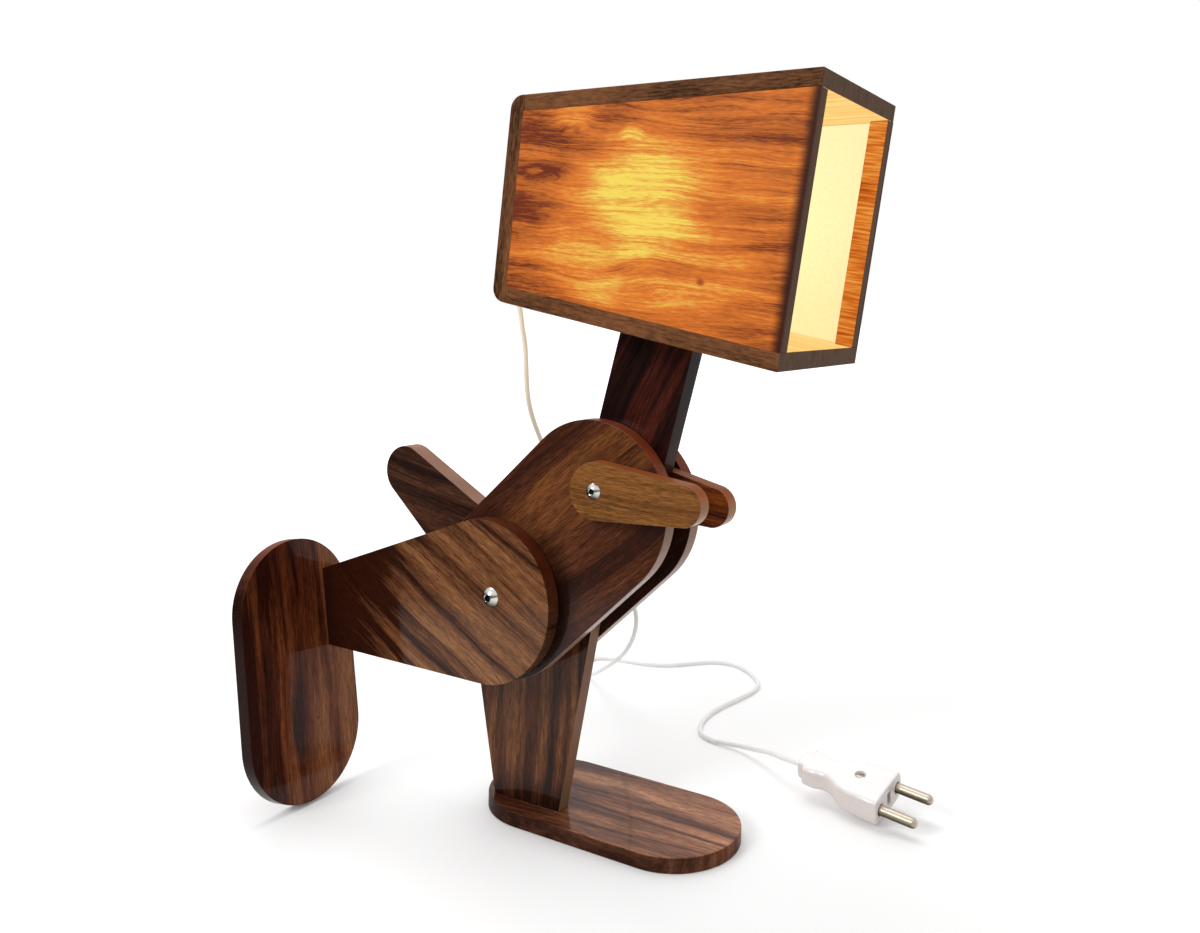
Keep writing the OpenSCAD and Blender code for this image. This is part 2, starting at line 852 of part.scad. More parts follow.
// The lead runs up the back board's inner face, from the strain relief into the holder's base
module holder_lead() {
    rise = holder_up - cord_up - holder_base_d / 2 + 2;
    out = relief_flange_t;
    lead_route = [
        [0, 0, out - lead_tail], [0, 0, out], [0, 0, out + lead_d / 2],
        [-lead_bend / 3, 0, out + lead_d], [-rise + lead_d / 2, 0, out + lead_d / 2],
        [-rise, 0, out + lead_d / 2]
    ];
    line = smooth_route(lead_route);
    color(ivory) at_back(cord_hole) tube(line, 0, len(line) - 1, lead_d / 2);
}

module cord_drop() {
    line = smooth_route(cord_route);
    color(ivory) tube(line, 0, split_point * ring_steps, cord_d / 2);
}

module cord_floor() {
    line = smooth_route(cord_route);
    color(ivory) tube(line, split_point * ring_steps, len(line) - 1, cord_d / 2);
}

// ---- Plug ----

module at_plug() {
    translate(plug_at) rotate(plug_turn) children();
}

// A rectangle with round corners, centred on the origin
module round_rect(w, h, r) {
    square([w - 2 * r, h], center = true);
    square([w, h - 2 * r], center = true);
    for (x = [-1, 1]) {
        for (y = [-1, 1]) {
            translate([x * (w / 2 - r), y * (h / 2 - r)]) circle(r);
        }
    }
}

// The plug seen from above: flange, waist, finger grip and nose
module plug_plan() {
    flange = plug_w / 2;
    waist = plug_waist_w / 2;
    nose = plug_nose_w / 2;
    shoulder_x = -0.47 * plug_l;
    waist_x = -0.65 * plug_l;
    grip_x = -plug_l + plug_nose_l;
    polygon([
        [0, -flange], [0, flange], [-plug_flange_l, flange], [shoulder_x, flange - 2], [waist_x, waist],
        [grip_x + 1, waist], [grip_x + 1, -waist], [waist_x, -waist], [shoulder_x, 2 - flange],
        [-plug_flange_l, -flange]
    ]);
    translate([grip_x + plug_grip_l / 2, 0]) round_rect(plug_grip_l, plug_grip_w, plug_edge_r);
    translate([-plug_l, -nose]) square([plug_nose_l + 1, plug_nose_w]);
}

// The plug seen from the side: thick at the pins and thinner at the grip
module plug_side() {
    thick = plug_t / 2;
    thin = plug_grip_t / 2;
    taper_x = -0.65 * plug_l;
    polygon([
        [0, -thick], [0, thick], [-plug_flange_l, thick], [taper_x, thin], [-plug_l, thin],
        [-plug_l, -thin], [taper_x, -thin], [-plug_flange_l, -thick]
    ]);
}

module plug_body() {
    intersection() {
        translate([0, 0, -plug_t]) linear_extrude(2 * plug_t) plug_plan();
        translate([0, plug_w, 0]) rotate([90, 0, 0]) linear_extrude(2 * plug_w) plug_side();
        translate([-plug_l - cut, 0, 0]) rotate([90, 0, 90]) {
            linear_extrude(plug_l + 2 * cut) round_rect(plug_w, plug_t, plug_edge_r);
        }
    }
}

module plug_hollows() {
    for (side = [-1, 1]) {
        translate([-pin_sunk - screw_gap, side * pin_pitch / 2, 0]) rotate([0, 90, 0]) {
            cylinder(d = pin_d + 2 * screw_gap, h = pin_sunk + cut);
        }
    }
    translate([plug_screw_x, 0, plug_screw_floor - plug_t / 2]) {
        cylinder(d = plug_screw_d + 2 * screw_gap, h = plug_t);
    }
    translate([plug_screw_x, 0, plug_t / 2 - plug_recess - plug_screw_head_h]) {
        cylinder(d = plug_screw_head_d + 2 * screw_gap, h = plug_recess + plug_screw_head_h + cut);
    }
}

module half_space(side) {
    size = 2 * plug_l;
    translate([-size, -size / 2, side > 0 ? 0 : -size]) cube([2 * size, size, size]);
}

module plug_base() {
    color(ivory) at_plug() difference() {
        intersection() {
            plug_body();
            half_space(-1);
        }
        plug_hollows();
    }
}

module plug_cover() {
    color(ivory) at_plug() difference() {
        intersection() {
            plug_body();
            half_space(1);
        }
        plug_hollows();
    }
}

module plug_screw() {
    foot_z = plug_screw_floor - plug_t / 2;
    head_z = plug_t / 2 - plug_recess - plug_screw_head_h;
    color(steel) at_plug() translate([plug_screw_x, 0, 0]) difference() {
        union() {
            translate([0, 0, foot_z]) cylinder(d = plug_screw_d, h = head_z - foot_z);
            translate([0, 0, head_z]) cylinder(d = plug_screw_head_d, h = plug_screw_head_h);
        }
        translate([0, 0, head_z + plug_screw_head_h]) {
            cube([plug_screw_head_d + cut, plug_screw_slot, plug_screw_head_h], center = true);
        }
    }
}

module plug_pins() {
    color(steel) at_plug() {
        for (side = [-1, 1]) {
            translate([-pin_sunk, side * pin_pitch / 2, 0]) rotate([0, 90, 0]) {
                cylinder(d = pin_d, h = pin_sunk + pin_l - pin_d / 2);
            }
            translate([pin_l - pin_d / 2, side * pin_pitch / 2, 0]) sphere(pin_d / 2);
        }
    }
}

standing_foot();
standing_leg();
foot_screws();
rear_foot();
rear_leg();
rear_foot_screws();
torso_near();
torso_far();
tail();
neck();
arm_near();
arm_far();
hip_bolt();
hip_nut();
hip_washers();
shoulder_bolt();
shoulder_nut();
shoulder_washers();
shade_top();
shade_bottom();
shade_back();
veneer_near();
veneer_far();
stile_near();
stile_far();
liner_near();
liner_far();
neck_screws();
holder_base();
holder_barrel();
holder_contact();
holder_screws();
bulb_cap();
bulb_collar();
bulb_globe();
strain_relief();
holder_lead();
cord_drop();
cord_floor();
plug_base();
plug_cover();
plug_screw();
plug_pins();
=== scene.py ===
"""Dresses the robot desk lamp: planks, lit shade, bolts, cord, plug, studio and camera."""

import json
import math

import bmesh
import bpy
from bpy.props import FloatProperty, FloatVectorProperty, IntProperty, PointerProperty
from mathutils import Euler, Matrix, Vector
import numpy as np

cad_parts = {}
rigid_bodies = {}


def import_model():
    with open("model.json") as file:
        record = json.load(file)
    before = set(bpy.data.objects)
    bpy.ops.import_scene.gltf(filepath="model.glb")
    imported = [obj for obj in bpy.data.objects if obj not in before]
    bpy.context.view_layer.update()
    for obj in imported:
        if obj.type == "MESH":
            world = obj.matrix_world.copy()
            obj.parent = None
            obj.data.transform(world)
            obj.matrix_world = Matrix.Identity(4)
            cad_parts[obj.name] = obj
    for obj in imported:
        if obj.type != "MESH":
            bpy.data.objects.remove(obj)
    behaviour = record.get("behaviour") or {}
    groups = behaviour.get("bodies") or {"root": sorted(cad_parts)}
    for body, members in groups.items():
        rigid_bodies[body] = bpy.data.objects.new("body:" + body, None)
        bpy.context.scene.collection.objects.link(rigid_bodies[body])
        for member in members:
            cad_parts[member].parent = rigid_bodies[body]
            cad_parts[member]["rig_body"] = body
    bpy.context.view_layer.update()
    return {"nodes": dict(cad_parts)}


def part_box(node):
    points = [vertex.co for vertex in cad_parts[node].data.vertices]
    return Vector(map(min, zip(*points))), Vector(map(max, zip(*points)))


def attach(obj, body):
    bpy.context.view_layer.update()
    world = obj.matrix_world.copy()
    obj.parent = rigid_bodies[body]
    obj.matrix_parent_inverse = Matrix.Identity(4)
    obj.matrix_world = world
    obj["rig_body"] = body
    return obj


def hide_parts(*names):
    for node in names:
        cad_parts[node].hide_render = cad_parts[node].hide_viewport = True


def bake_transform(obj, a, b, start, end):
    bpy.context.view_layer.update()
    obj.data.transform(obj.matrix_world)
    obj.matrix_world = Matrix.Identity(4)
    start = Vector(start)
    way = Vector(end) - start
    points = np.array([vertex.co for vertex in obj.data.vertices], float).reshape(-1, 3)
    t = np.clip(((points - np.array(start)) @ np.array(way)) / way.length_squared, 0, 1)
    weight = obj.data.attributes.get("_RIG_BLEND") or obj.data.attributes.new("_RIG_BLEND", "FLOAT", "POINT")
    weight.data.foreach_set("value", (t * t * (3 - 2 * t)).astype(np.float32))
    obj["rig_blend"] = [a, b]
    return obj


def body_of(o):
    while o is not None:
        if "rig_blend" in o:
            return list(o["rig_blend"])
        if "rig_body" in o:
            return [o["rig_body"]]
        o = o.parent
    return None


bl_info = {
    "name": "Plank Robot Lamp",
    "version": (1, 0, 0),
    "blender": (4, 5, 0),
    "location": "View3D > Sidebar > Robot Lamp",
    "description": "Finishes the planks, shade, bolts, cord and plug of a walking robot desk lamp",
    "category": "Object",
}

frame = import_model()
cad_nodes = frame["nodes"]


def srgb(red, green, blue):
    """A colour given as 0 to 255 values on screen, as linear RGBA."""
    linear = []
    for value in (red, green, blue):
        share = value / 255
        linear.append(share / 12.92 if share <= 0.04045 else ((share + 0.055) / 1.055) ** 2.4)
    return (*linear, 1.0)


# ---- Shader maths ----


class Field:
    """A socket whose value varies over a surface; arithmetic on it adds nodes."""

    def __init__(self, shader, socket):
        self.shader = shader
        self.socket = socket

    def maths(self, operation, *values):
        return self.shader.node("ShaderNodeMath", {"operation": operation}, dict(enumerate(values)))

    def __add__(self, other):
        return self.maths("ADD", self, other)

    def __radd__(self, other):
        return self.maths("ADD", other, self)

    def __sub__(self, other):
        return self.maths("SUBTRACT", self, other)

    def __rsub__(self, other):
        return self.maths("SUBTRACT", other, self)

    def __mul__(self, other):
        return self.maths("MULTIPLY", self, other)

    def __rmul__(self, other):
        return self.maths("MULTIPLY", other, self)

    def __truediv__(self, other):
        return self.maths("DIVIDE", self, other)

    def __rtruediv__(self, other):
        return self.maths("DIVIDE", other, self)

    def __pow__(self, other):
        return self.maths("POWER", self, other)

    def __rpow__(self, other):
        return self.maths("POWER", other, self)

    def step(self, low, high, at_low=0.0, at_high=1.0):
        """at_low below low, at_high above high, and a smooth rise between them."""
        settings = {"interpolation_type": "SMOOTHSTEP", "clamp": True}
        values = {0: self, 1: low, 2: high, 3: at_low, 4: at_high}
        return self.shader.node("ShaderNodeMapRange", settings, values)


class Shader:
    """A material or a world under construction, with its node tree."""

    def __init__(self, name, home="materials"):
        self.material = getattr(bpy.data, home).new(name)
        self.material.use_nodes = True
        self.tree = self.material.node_tree
        self.tree.nodes.clear()

    def node(self, kind, settings=None, inputs=None, output=0):
        """Adds one node: settings first, then the value or link of each socket."""
        made = self.tree.nodes.new(kind)
        for name, value in (settings or {}).items():
            if name == "stops":
                self.set_stops(made.color_ramp, value)
            else:
                setattr(made, name, value)
        for name, value in (inputs or {}).items():
            if isinstance(value, Field):
                self.tree.links.new(value.socket, made.inputs[name])
            else:
                made.inputs[name].default_value = value
        return Field(self, made.outputs[output]) if made.outputs else None

    def set_stops(self, ramp, stops):
        while len(ramp.elements) < len(stops):
            ramp.elements.new(1.0)
        for element, (position, colour) in zip(ramp.elements, stops):
            element.position = position
            element.color = colour

    def place(self):
        """Position on the piece, in metres, in the row frame at rest."""
        return self.node("ShaderNodeTexCoord", output="Object")

    def facing(self):
        """The way the surface faces, which turns with the piece."""
        return self.node("ShaderNodeTexCoord", output="Normal")

    def dot(self, vector, direction):
        values = {0: vector, 1: direction}
        return self.node("ShaderNodeVectorMath", {"operation": "DOT_PRODUCT"}, values, output="Value")

    def vector(self, x, y, z):
        return self.node("ShaderNodeCombineXYZ", None, {"X": x, "Y": y, "Z": z})

    def noise(self, vector, detail=2.0, roughness=0.5):
        values = {"Vector": vector, "Scale": 1.0, "Detail": detail, "Roughness": roughness}
        return self.node("ShaderNodeTexNoise", None, values)

    def specks(self, to_metre, detail=2.0):
        """Noise on the piece, with so many specks to the metre, or so many along each axis."""
        scale = to_metre if isinstance(to_metre, tuple) else (to_metre,) * 3
        vector = self.node("ShaderNodeVectorMath", {"operation": "MULTIPLY"}, {0: self.place(), 1: scale})
        return self.noise(vector, detail)

    def blend(self, a, b, factor, mode="MIX"):
        """Colour a turning into colour b as the factor goes from 0 to 1."""
        settings = {"data_type": "RGBA", "blend_type": mode, "clamp_factor": True}
        return self.node("ShaderNodeMix", settings, {0: factor, 6: a, 7: b}, output=2)

    def ramp(self, value, stops):
        return self.node("ShaderNodeValToRGB", {"stops": stops}, {0: value})

    def bump(self, height, distance, strength=1.0):
        values = {"Strength": strength, "Distance": distance, "Height": height}
        return self.node("ShaderNodeBump", None, values)

    def surface(self, inputs):
        """The piece's own surface, with its constants on its own sockets."""
        body = self.node("ShaderNodeBsdfPrincipled", None, inputs)
        self.node("ShaderNodeOutputMaterial", None, {"Surface": body})
        return self.material


# ---- Wood ----


class Grain:
    """Coordinates in a plank, in millimetres: along the grain, across it and through the plank."""

    def __init__(self, shader, along, through):
        along = Vector(along).normalized()
        through = Vector(through).normalized()
        self.shader = shader
        self.along = self.distance(along)
        self.across = self.distance(through.cross(along))
        self.through = self.distance(through)

    def distance(self, direction):
        """How far a point lies along a direction, in millimetres."""
        return self.shader.dot(self.shader.place(), Vector(direction) * 1000)

    def noise(self, length, width, depth, shift=0.0, detail=2.0, roughness=0.5, across=None):
        """Noise in streaks of about that length, width and depth."""
        over = self.across if across is None else across
        vector = self.shader.vector(self.along / length + shift, over / width, self.through / depth)
        return self.shader.noise(vector, detail, roughness)


def painted_shadow_beside_round_end(grain, node):
    """How deep a point lies in the painted shadow beside a leg's round end, mostly on its lower front side.
    """
    low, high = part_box(node)
    radius = (high[2] - low[2]) * 500
    off_x = grain.distance(AHEAD) - (high[0] * 1000 - radius)
    off_z = grain.distance(UPWARDS) - (low[2] + high[2]) * 500
    away = (off_x * off_x + off_z * off_z) ** 0.5
    lower_front = (off_x * 0.9 - off_z * 0.45) / away
    start = radius + SHADOW_START
    return away.step(start, start + SHADOW_WIDTH, 1.0, 0.0) * lower_front.step(-0.1, 0.8, 0.25, 1.0)


def plank_wood(name, along, through, look, seed):
    """Lacquered hardwood: wandering bands, dark veins that come and go, fibres and open pores."""
    shader = Shader(name)
    grain = Grain(shader, along, through)
    wander = grain.noise(130.0, 38.0, 70.0, seed) - 0.5
    ripple = grain.noise(30.0, 11.0, 30.0, seed + 2.2) - 0.5
    across = grain.across + wander * look["wander"] + ripple * look["ripple"]
    bands = grain.noise(160.0, look["band"], 30.0, seed + 3.1, 2.0, 0.5, across)
    streaks = grain.noise(90.0, look["band"] * 0.36, 14.0, seed + 5.3, 3.0, 0.62, across)
    strength = grain.noise(45.0, 16.0, 30.0, seed + 7.7, 1.0)
    fibres = grain.noise(6.0, 0.6, 0.8, seed + 1.9, 3.0, 0.65)
    pores = grain.noise(3.0, 0.36, 0.5, seed + 9.2, 1.0)
    tone = bands.step(0.32, 0.68) * 0.58 + streaks.step(0.32, 0.68) * 0.44 + fibres * 0.30 - 0.17
    # A lean shifts the tone along a direction; on several planks it is painted shade
    if "lean" in look:
        direction, low, high, at_low, at_high = look["lean"]
        tone = tone + grain.distance(direction).step(low, high, at_low, at_high)
    colour = shader.ramp(tone, [(0.08, look["dark"]), (0.46, look["mid"]), (0.92, look["light"])])
    veins = streaks.step(0.53, 0.68) * strength.step(0.40, 0.60) * look["veins"]
    colour = shader.blend(colour, look["vein"], veins)
    ticks = fibres.step(0.30, 0.70, 1.0 - look["fibre"], 1.0 + look["fibre"])
    colour = shader.blend(colour, shader.vector(ticks, ticks, ticks), 1.0, "MULTIPLY")
    holes = pores.step(0.62, 0.74)
    colour = shader.blend(colour, look["vein"], holes * look["pores"])
    face = shader.dot(shader.facing(), through)
    # Painted shadow beside the round end of the plank in front, on the near face
    if "shadow_cast_by" in look:
        corner_shadow = painted_shadow_beside_round_end(grain, look["shadow_cast_by"]) * face.step(-0.9, -0.5, 0.9, 0.0)
        colour = shader.blend(colour, look["vein"], corner_shadow)
    # Painted shade on the face turned towards the near plate
    if "painted_shade_face" in look:
        colour = shader.blend(colour, look["vein"], face.step(-0.9, -0.5, look["painted_shade_face"], 0.0))
    rim = (face * face).step(0.2, 0.9, 1.0, 0.0)
    colour = shader.blend(colour, look["vein"], rim * look["rim_dark"])
    # Painted highlights and reflections on rims that face the given ways
    for way, painted_rim_colour in look["painted_rim_light"]:
        turned = rim * shader.dot(shader.facing(), way).step(0.35, 0.9)
        colour = shader.blend(colour, painted_rim_colour, turned * (0.4 + bands * 0.6))
    dull = rim * shader.dot(shader.facing(), UPWARDS).step(-0.55, -0.1, 0.3, 0.8)
    return shader.surface({
        "Base Color": colour,
        "Roughness": fibres * 0.1 + 0.45,
        "Normal": shader.bump(fibres * 0.3 - holes, 0.00003, 0.35),
        "Specular IOR Level": 0.05,
        "Coat Weight": 1.0 - dull,
        "Coat Roughness": look["gloss"],
        "Coat IOR": 1.25,
    })


def in_plane(degrees):
    """A direction in the planks' plane, from level ahead up towards the top."""
    turn = math.radians(degrees)
    return (math.cos(turn), 0.0, math.sin(turn))


AHEAD = (1.0, 0.0, 0.0)
BOLT_WAY = (0.0, 1.0, 0.0)
UPWARDS = (0.0, 0.0, 1.0)
REAR_FOOT_WAY = in_plane(-80.5)
REAR_LEG_WAY = in_plane(9.5)

# Ways that a rim faces where it gets a painted warm highlight from above, and a painted pale reflection of
# the floor
WARM_HIGHLIGHT_WAY = in_plane(58)
PALE_REFLECTION_WAY = in_plane(-35)

# The painted shadow beside a round end: how far out it starts, and its width, in millimetres
SHADOW_START = 1.5
SHADOW_WIDTH = 15.0


# ---- Settings ----


def colour_property(name, description, red, green, blue):
    return FloatVectorProperty(
        name=name, description=description, subtype="COLOR", size=3, min=0.0, max=1.0,
        default=srgb(red, green, blue)[:3],
    )


def length_property(name, description, metres):
    return FloatProperty(name=name, description=description, default=metres, min=0.0, unit="LENGTH")


def angle_property(name, description, degrees):
    return FloatProperty(name=name, description=description, default=math.radians(degrees), subtype="ANGLE")


def number_property(name, description, default, **options):
    return FloatProperty(name=name, description=description, default=default, **options)


class LampWoodSettings(bpy.types.PropertyGroup):
    """Colours and finish of the planks."""

    heart: colour_property("Heartwood", "Darkest streaks of the rosewood", 38, 17, 11)
    brown: colour_property("Brown", "Middle tone of the rosewood", 84, 50, 33)
    honey: colour_property("Honey", "Lightest streaks of the rosewood", 114, 76, 48)
    arm: colour_property("Arm", "Middle tone of the lighter arms", 124, 79, 38)
    walnut: colour_property("Walnut", "Middle tone of the shade's boards", 110, 70, 43)
    end_grain: colour_property("End grain", "Front edges of the shade's mouth", 84, 68, 56)
    band: number_property("Band width", "Width of a band of the grain, in millimetres", 9.0, min=2.0)
    arris: length_property("Arris", "Rounding of the planks' edges", 0.0004)


class LampShadeSettings(bpy.types.PropertyGroup):
    """Light that comes through the shade."""

    ember: colour_property("Ember", "Darkest figure of the lit veneer", 112, 42, 14)
    amber: colour_property("Amber", "Middle tone of the lit veneer", 232, 126, 44)
    flame: colour_property("Flame", "Lightest tone of the lit veneer", 255, 226, 96)
    paper: colour_property("Paper", "Lit paper liner", 253, 238, 184)
    spot: length_property("Bright spot", "Radius of the bright spot on a veneer", 0.021)
    spot_x: length_property("Spot X", "Where the bright spot lies along X", 0.0885)
    spot_z: length_property("Spot Z", "Height of the bright spot", 0.2985)
    # Width of the veneer's painted shadow beside the near stile
    edge: length_property("Dark edge", "Width of the dark edge beside the near stile", 0.006)
    bulb: number_property("Bulb", "Strength of the bulb's glow", 3.0, min=0.0)


class LampCordSettings(bpy.types.PropertyGroup):
    """The cord from the shade's back to the plug."""

    diameter: length_property("Diameter", "Diameter of the cord", 0.0026)
    sides: IntProperty(name="Sides", description="Sides of the cord's tube", default=14, min=8)
    steps: IntProperty(name="Steps", description="Rings in each stretch of the route", default=6, min=2)
    sheath: colour_property("Sheath", "Colour of the cord", 248, 247, 245)
    plug: colour_property("Plug", "Colour of the plug's moulding", 226, 216, 212)


class LampStageSettings(bpy.types.PropertyGroup):
    """Studio and camera."""

    eye: FloatVectorProperty(
        name="Eye", description="Where the camera stands", subtype="TRANSLATION", size=3,
        default=(0.3197, -0.4186, 0.2544),
    )
    yaw: angle_property("Yaw", "Turn of the camera from +Y towards -X", 29.32)
    pitch: angle_property("Pitch", "Downward tilt of the camera", -1.35)
    roll: angle_property("Roll", "Roll of the camera", 1.38)
    lens: number_property("Lens", "Focal length on a 36 mm sensor", 31.505, unit="CAMERA")
    shift_x: number_property("Shift X", "Sideways shift of the lens", -0.0680)
    shift_y: number_property("Shift Y", "Upward shift of the lens", -0.1587)
    room: number_property("Room light", "Strength of the white room", 0.8)
    dim: number_property("Dim side", "Strength of the room's unlit side", 0.06)
    key: number_property("Key light", "Power of the large soft lamp", 5.0, unit="POWER")
    front: number_property("Front light", "Power of the lamp on the near side", 7.0, unit="POWER")
    floor: colour_property("Floor", "Colour of the floor", 246, 246, 246)
    lift: number_property("Floor lift", "How much whiter the floor looks than it is lit", 0.1)


# ---- Shared making ----

# Rounding of edges, in metres
BOARD_ARRIS = 0.0004
STILE_ARRIS = 0.0003
MOULDING_ARRIS = 0.0004
NUT_ARRIS = 0.0002

UNLIT = (0.0, 0.0, 0.0, 1.0)
INNER_GLOW = 0.85


def soften(node, width):
    """Rounds a CAD node's sharp edges and keeps its flat faces flat."""
    weld = node.modifiers.new("Weld", "WELD")
    weld.merge_threshold = 0.000005
    faces = node.modifiers.new("Whole faces", "DECIMATE")
    faces.decimate_type = "DISSOLVE"
    faces.angle_limit = math.radians(0.3)
    bevel = node.modifiers.new("Arris", "BEVEL")
    bevel.width = width
    bevel.segments = 2
    bevel.limit_method = "ANGLE"
    bevel.angle_limit = math.radians(30)
    bevel.use_clamp_overlap = True
    normals = node.modifiers.new("Normals", "WEIGHTED_NORMAL")
    normals.weight = 100


def finish(material, *names, arris=0.0):
    """Gives CAD nodes their material and, where they have an arris, softened edges."""
    for name in names:
        node = cad_nodes[name]
        node.data.materials.clear()
        node.data.materials.append(material)
        if arris > 0:
            soften(node, arris)


def rgba(colour):
    return (*colour, 1.0)


def shaded(colour, share):
    return (colour[0] * share, colour[1] * share, colour[2] * share, 1.0)


def mixed(a, b, share):
    return tuple(a[i] * (1 - share) + b[i] * share for i in range(3)) + (1.0,)


def new_piece(name, points, faces, material, body=None, sharp=180.0):
    """A mesh piece with its faces turned out, sharp where they meet at more than that many degrees."""
    mesh = bpy.data.meshes.new(name)
    mesh.from_pydata(points, [], faces)
    if len(faces) > 1:
        turned = bmesh.new()
        turned.from_mesh(mesh)
        bmesh.ops.recalc_face_normals(turned, faces=turned.faces)
        turned.to_mesh(mesh)
        turned.free()
    mesh.materials.append(material)
    piece = bpy.data.objects.new(name, mesh)
    bpy.context.scene.collection.objects.link(piece)
    smooth(mesh, sharp)
    if body:
        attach(piece, body)
    return piece


def smooth(mesh, sharp):
    mesh.polygons.foreach_set("use_smooth", [True] * len(mesh.polygons))
    mesh.set_sharp_from_angle(angle=math.radians(sharp))


def skin(rings):
    """Points and faces of a closed surface over rings that have equally many points."""
    sides = len(rings[0])
    points = [point for ring in rings for point in ring]
    faces = []
    for i in range(len(rings) - 1):
        for k in range(sides):
            a, b = i * sides + k, i * sides + (k + 1) % sides
            faces.append((a, b, b + sides, a + sides))
    last = len(points) - sides
    faces.append(tuple(range(sides - 1, -1, -1)))
    faces.append(tuple(range(last, last + sides)))
    return points, faces


# ---- Planks ----


def rosewood_look(settings):
    """How a plank looks where its own entry says nothing else; band, wander and ripple in millimetres."""
    return {
        "dark": rgba(settings.heart),
        "mid": rgba(settings.brown),
        "light": rgba(settings.honey),
        "vein": shaded(settings.heart, 0.4),
        # Painted warm highlight on rims that face up
        "painted_rim_light": [(WARM_HIGHLIGHT_WAY, srgb(142, 66, 36))],
        "rim_dark": 0.62,
        "band": settings.band,
        "wander": 17.0,
        "ripple": 3.0,
        "veins": 0.8,
        "fibre": 0.34,
        "pores": 0.7,
        "gloss": 0.06,
    }


def three_tones(dark, mid, light):
    """The tones of one plank's wood, each as 0 to 255 values on screen."""
    return {"dark": srgb(*dark), "mid": srgb(*mid), "light": srgb(*light)}


TORSO = {
    **three_tones((52, 24, 14), (84, 44, 24), (122, 72, 36)),
    # Painted warm highlight on upper rims and painted pale floor reflection on lower rims
    "painted_rim_light": [(WARM_HIGHLIGHT_WAY, srgb(170, 80, 46)), (PALE_REFLECTION_WAY, srgb(158, 128, 112))],
    "rim_dark": 0.36,
}

# Each plank's grain, the way through it, its seed, and what differs from the common look.
# A lean is a direction, two places along it in millimetres, and what is added to the tone at each.
PLANKS = {
    "standing_foot": ((1.0, 0.035, 0.0), UPWARDS, 4.3, {
        **three_tones((70, 30, 16), (134, 84, 56), (186, 130, 94)),
        # Painted shade: darker towards the heel end, where the leg stands on the foot
        "lean": (AHEAD, -30.0, 46.0, -0.42, 0.06),
    }),
    "standing_leg": (in_plane(88), BOLT_WAY, 11.7, {
        **three_tones((34, 12, 4), (82, 43, 20), (130, 84, 48)),
        "band": 13.0,
        "veins": 0.5,
        # Painted highlight on the rim that faces ahead
        "painted_rim_light": [(in_plane(-6), srgb(150, 112, 88))],
        "rim_dark": 0.5,
        # Painted shade: darker at the leg's bottom, where it meets the foot
        "lean": (UPWARDS, 6.0, 24.0, -0.4, 0.0),
    }),
    "rear_foot": (REAR_FOOT_WAY, REAR_LEG_WAY, 21.4, {
        **three_tones((44, 12, 4), (94, 44, 20), (136, 82, 46)),
        "band": 12.0,
        "veins": 0.6,
        "lean": (BOLT_WAY, -64.0, -14.0, -0.34, 0.36),
    }),
    "rear_leg": (in_plane(-29), BOLT_WAY, 33.9, {
        **three_tones((46, 17, 6), (104, 63, 36), (140, 94, 58)),
        "band": 7.0,
        "veins": 0.45,
        # Painted highlight on rims that face up
        "painted_rim_light": [(WARM_HIGHLIGHT_WAY, srgb(92, 36, 18))],
        # Painted shade: darker towards the end by the rear foot
        "lean": (AHEAD, -96.0, -40.0, -0.75, 0.0),
    }),
    "torso_near": (in_plane(37), BOLT_WAY, 47.2, {
        **TORSO,
        # Painted shade: darker towards the lower right
        "lean": (in_plane(-45), -88.0, -44.0, 0.05, -0.20),
        # Painted shadow of the rear leg's round end on the torso
        "shadow_cast_by": "rear_leg",
    }),
    # The far plate's inner face is painted with shade
    "torso_far": (in_plane(40), BOLT_WAY, 58.6, {**TORSO, "painted_shade_face": 0.85}),
    "tail": (in_plane(-12), BOLT_WAY, 62.3, {
        **three_tones((36, 18, 12), (66, 38, 26), (90, 55, 38)),
        # Painted highlight on rims that face up
        "painted_rim_light": [(WARM_HIGHLIGHT_WAY, srgb(176, 132, 110))],
    }),
    "neck": (in_plane(62), BOLT_WAY, 74.8, {
        **three_tones((14, 2, 1), (46, 14, 9), (86, 34, 20)),
        "band": 6.0,
    }),
}

# The arms' grain in degrees, seed, and what differs
ARMS = {
    "arm_near": (-3.0, 83.1, {}),
    "arm_far": (-8.0, 91.5, three_tones((54, 16, 4), (94, 40, 11), (130, 66, 23))),
}


class LAMP_OT_planks(bpy.types.Operator):
    """Finish the rosewood planks of the legs, feet, torso, tail and neck"""

    bl_idname = "robot_lamp.planks"
    bl_label = "Planks"

    def execute(self, context):
        settings = context.scene.lamp_wood
        look = rosewood_look(settings)
        for node, (along, through, seed, change) in PLANKS.items():
            wood = plank_wood("rosewood_" + node, along, through, {**look, **change}, seed)
            finish(wood, node, arris=settings.arris)
        return {"FINISHED"}


class LAMP_OT_arms(bpy.types.Operator):
    """Finish the two lighter arms"""

    bl_idname = "robot_lamp.arms"
    bl_label = "Arms"

    def execute(self, context):
        settings = context.scene.lamp_wood
        look = rosewood_look(settings)
        look.update({
            "dark": shaded(settings.arm, 0.55),
            "mid": rgba(settings.arm),
            "light": shaded(settings.arm, 1.35),
            "vein": shaded(settings.arm, 0.25),
            "band": 5.0,
            "wander": 6.0,
            "ripple": 1.0,
            "veins": 0.35,
            "pores": 0.8,
            # Painted warm highlight on upper rims and painted pale floor reflection on lower rims
            "painted_rim_light": [(WARM_HIGHLIGHT_WAY, srgb(190, 108, 56)), (PALE_REFLECTION_WAY, srgb(176, 132, 100))],
        })
        for node, (degrees, seed, change) in ARMS.items():
            wood = plank_wood("honey_" + node, in_plane(degrees), BOLT_WAY, {**look, **change}, seed)
            finish(wood, node, arris=settings.arris)
        return {"FINISHED"}


# ---- Shade ----

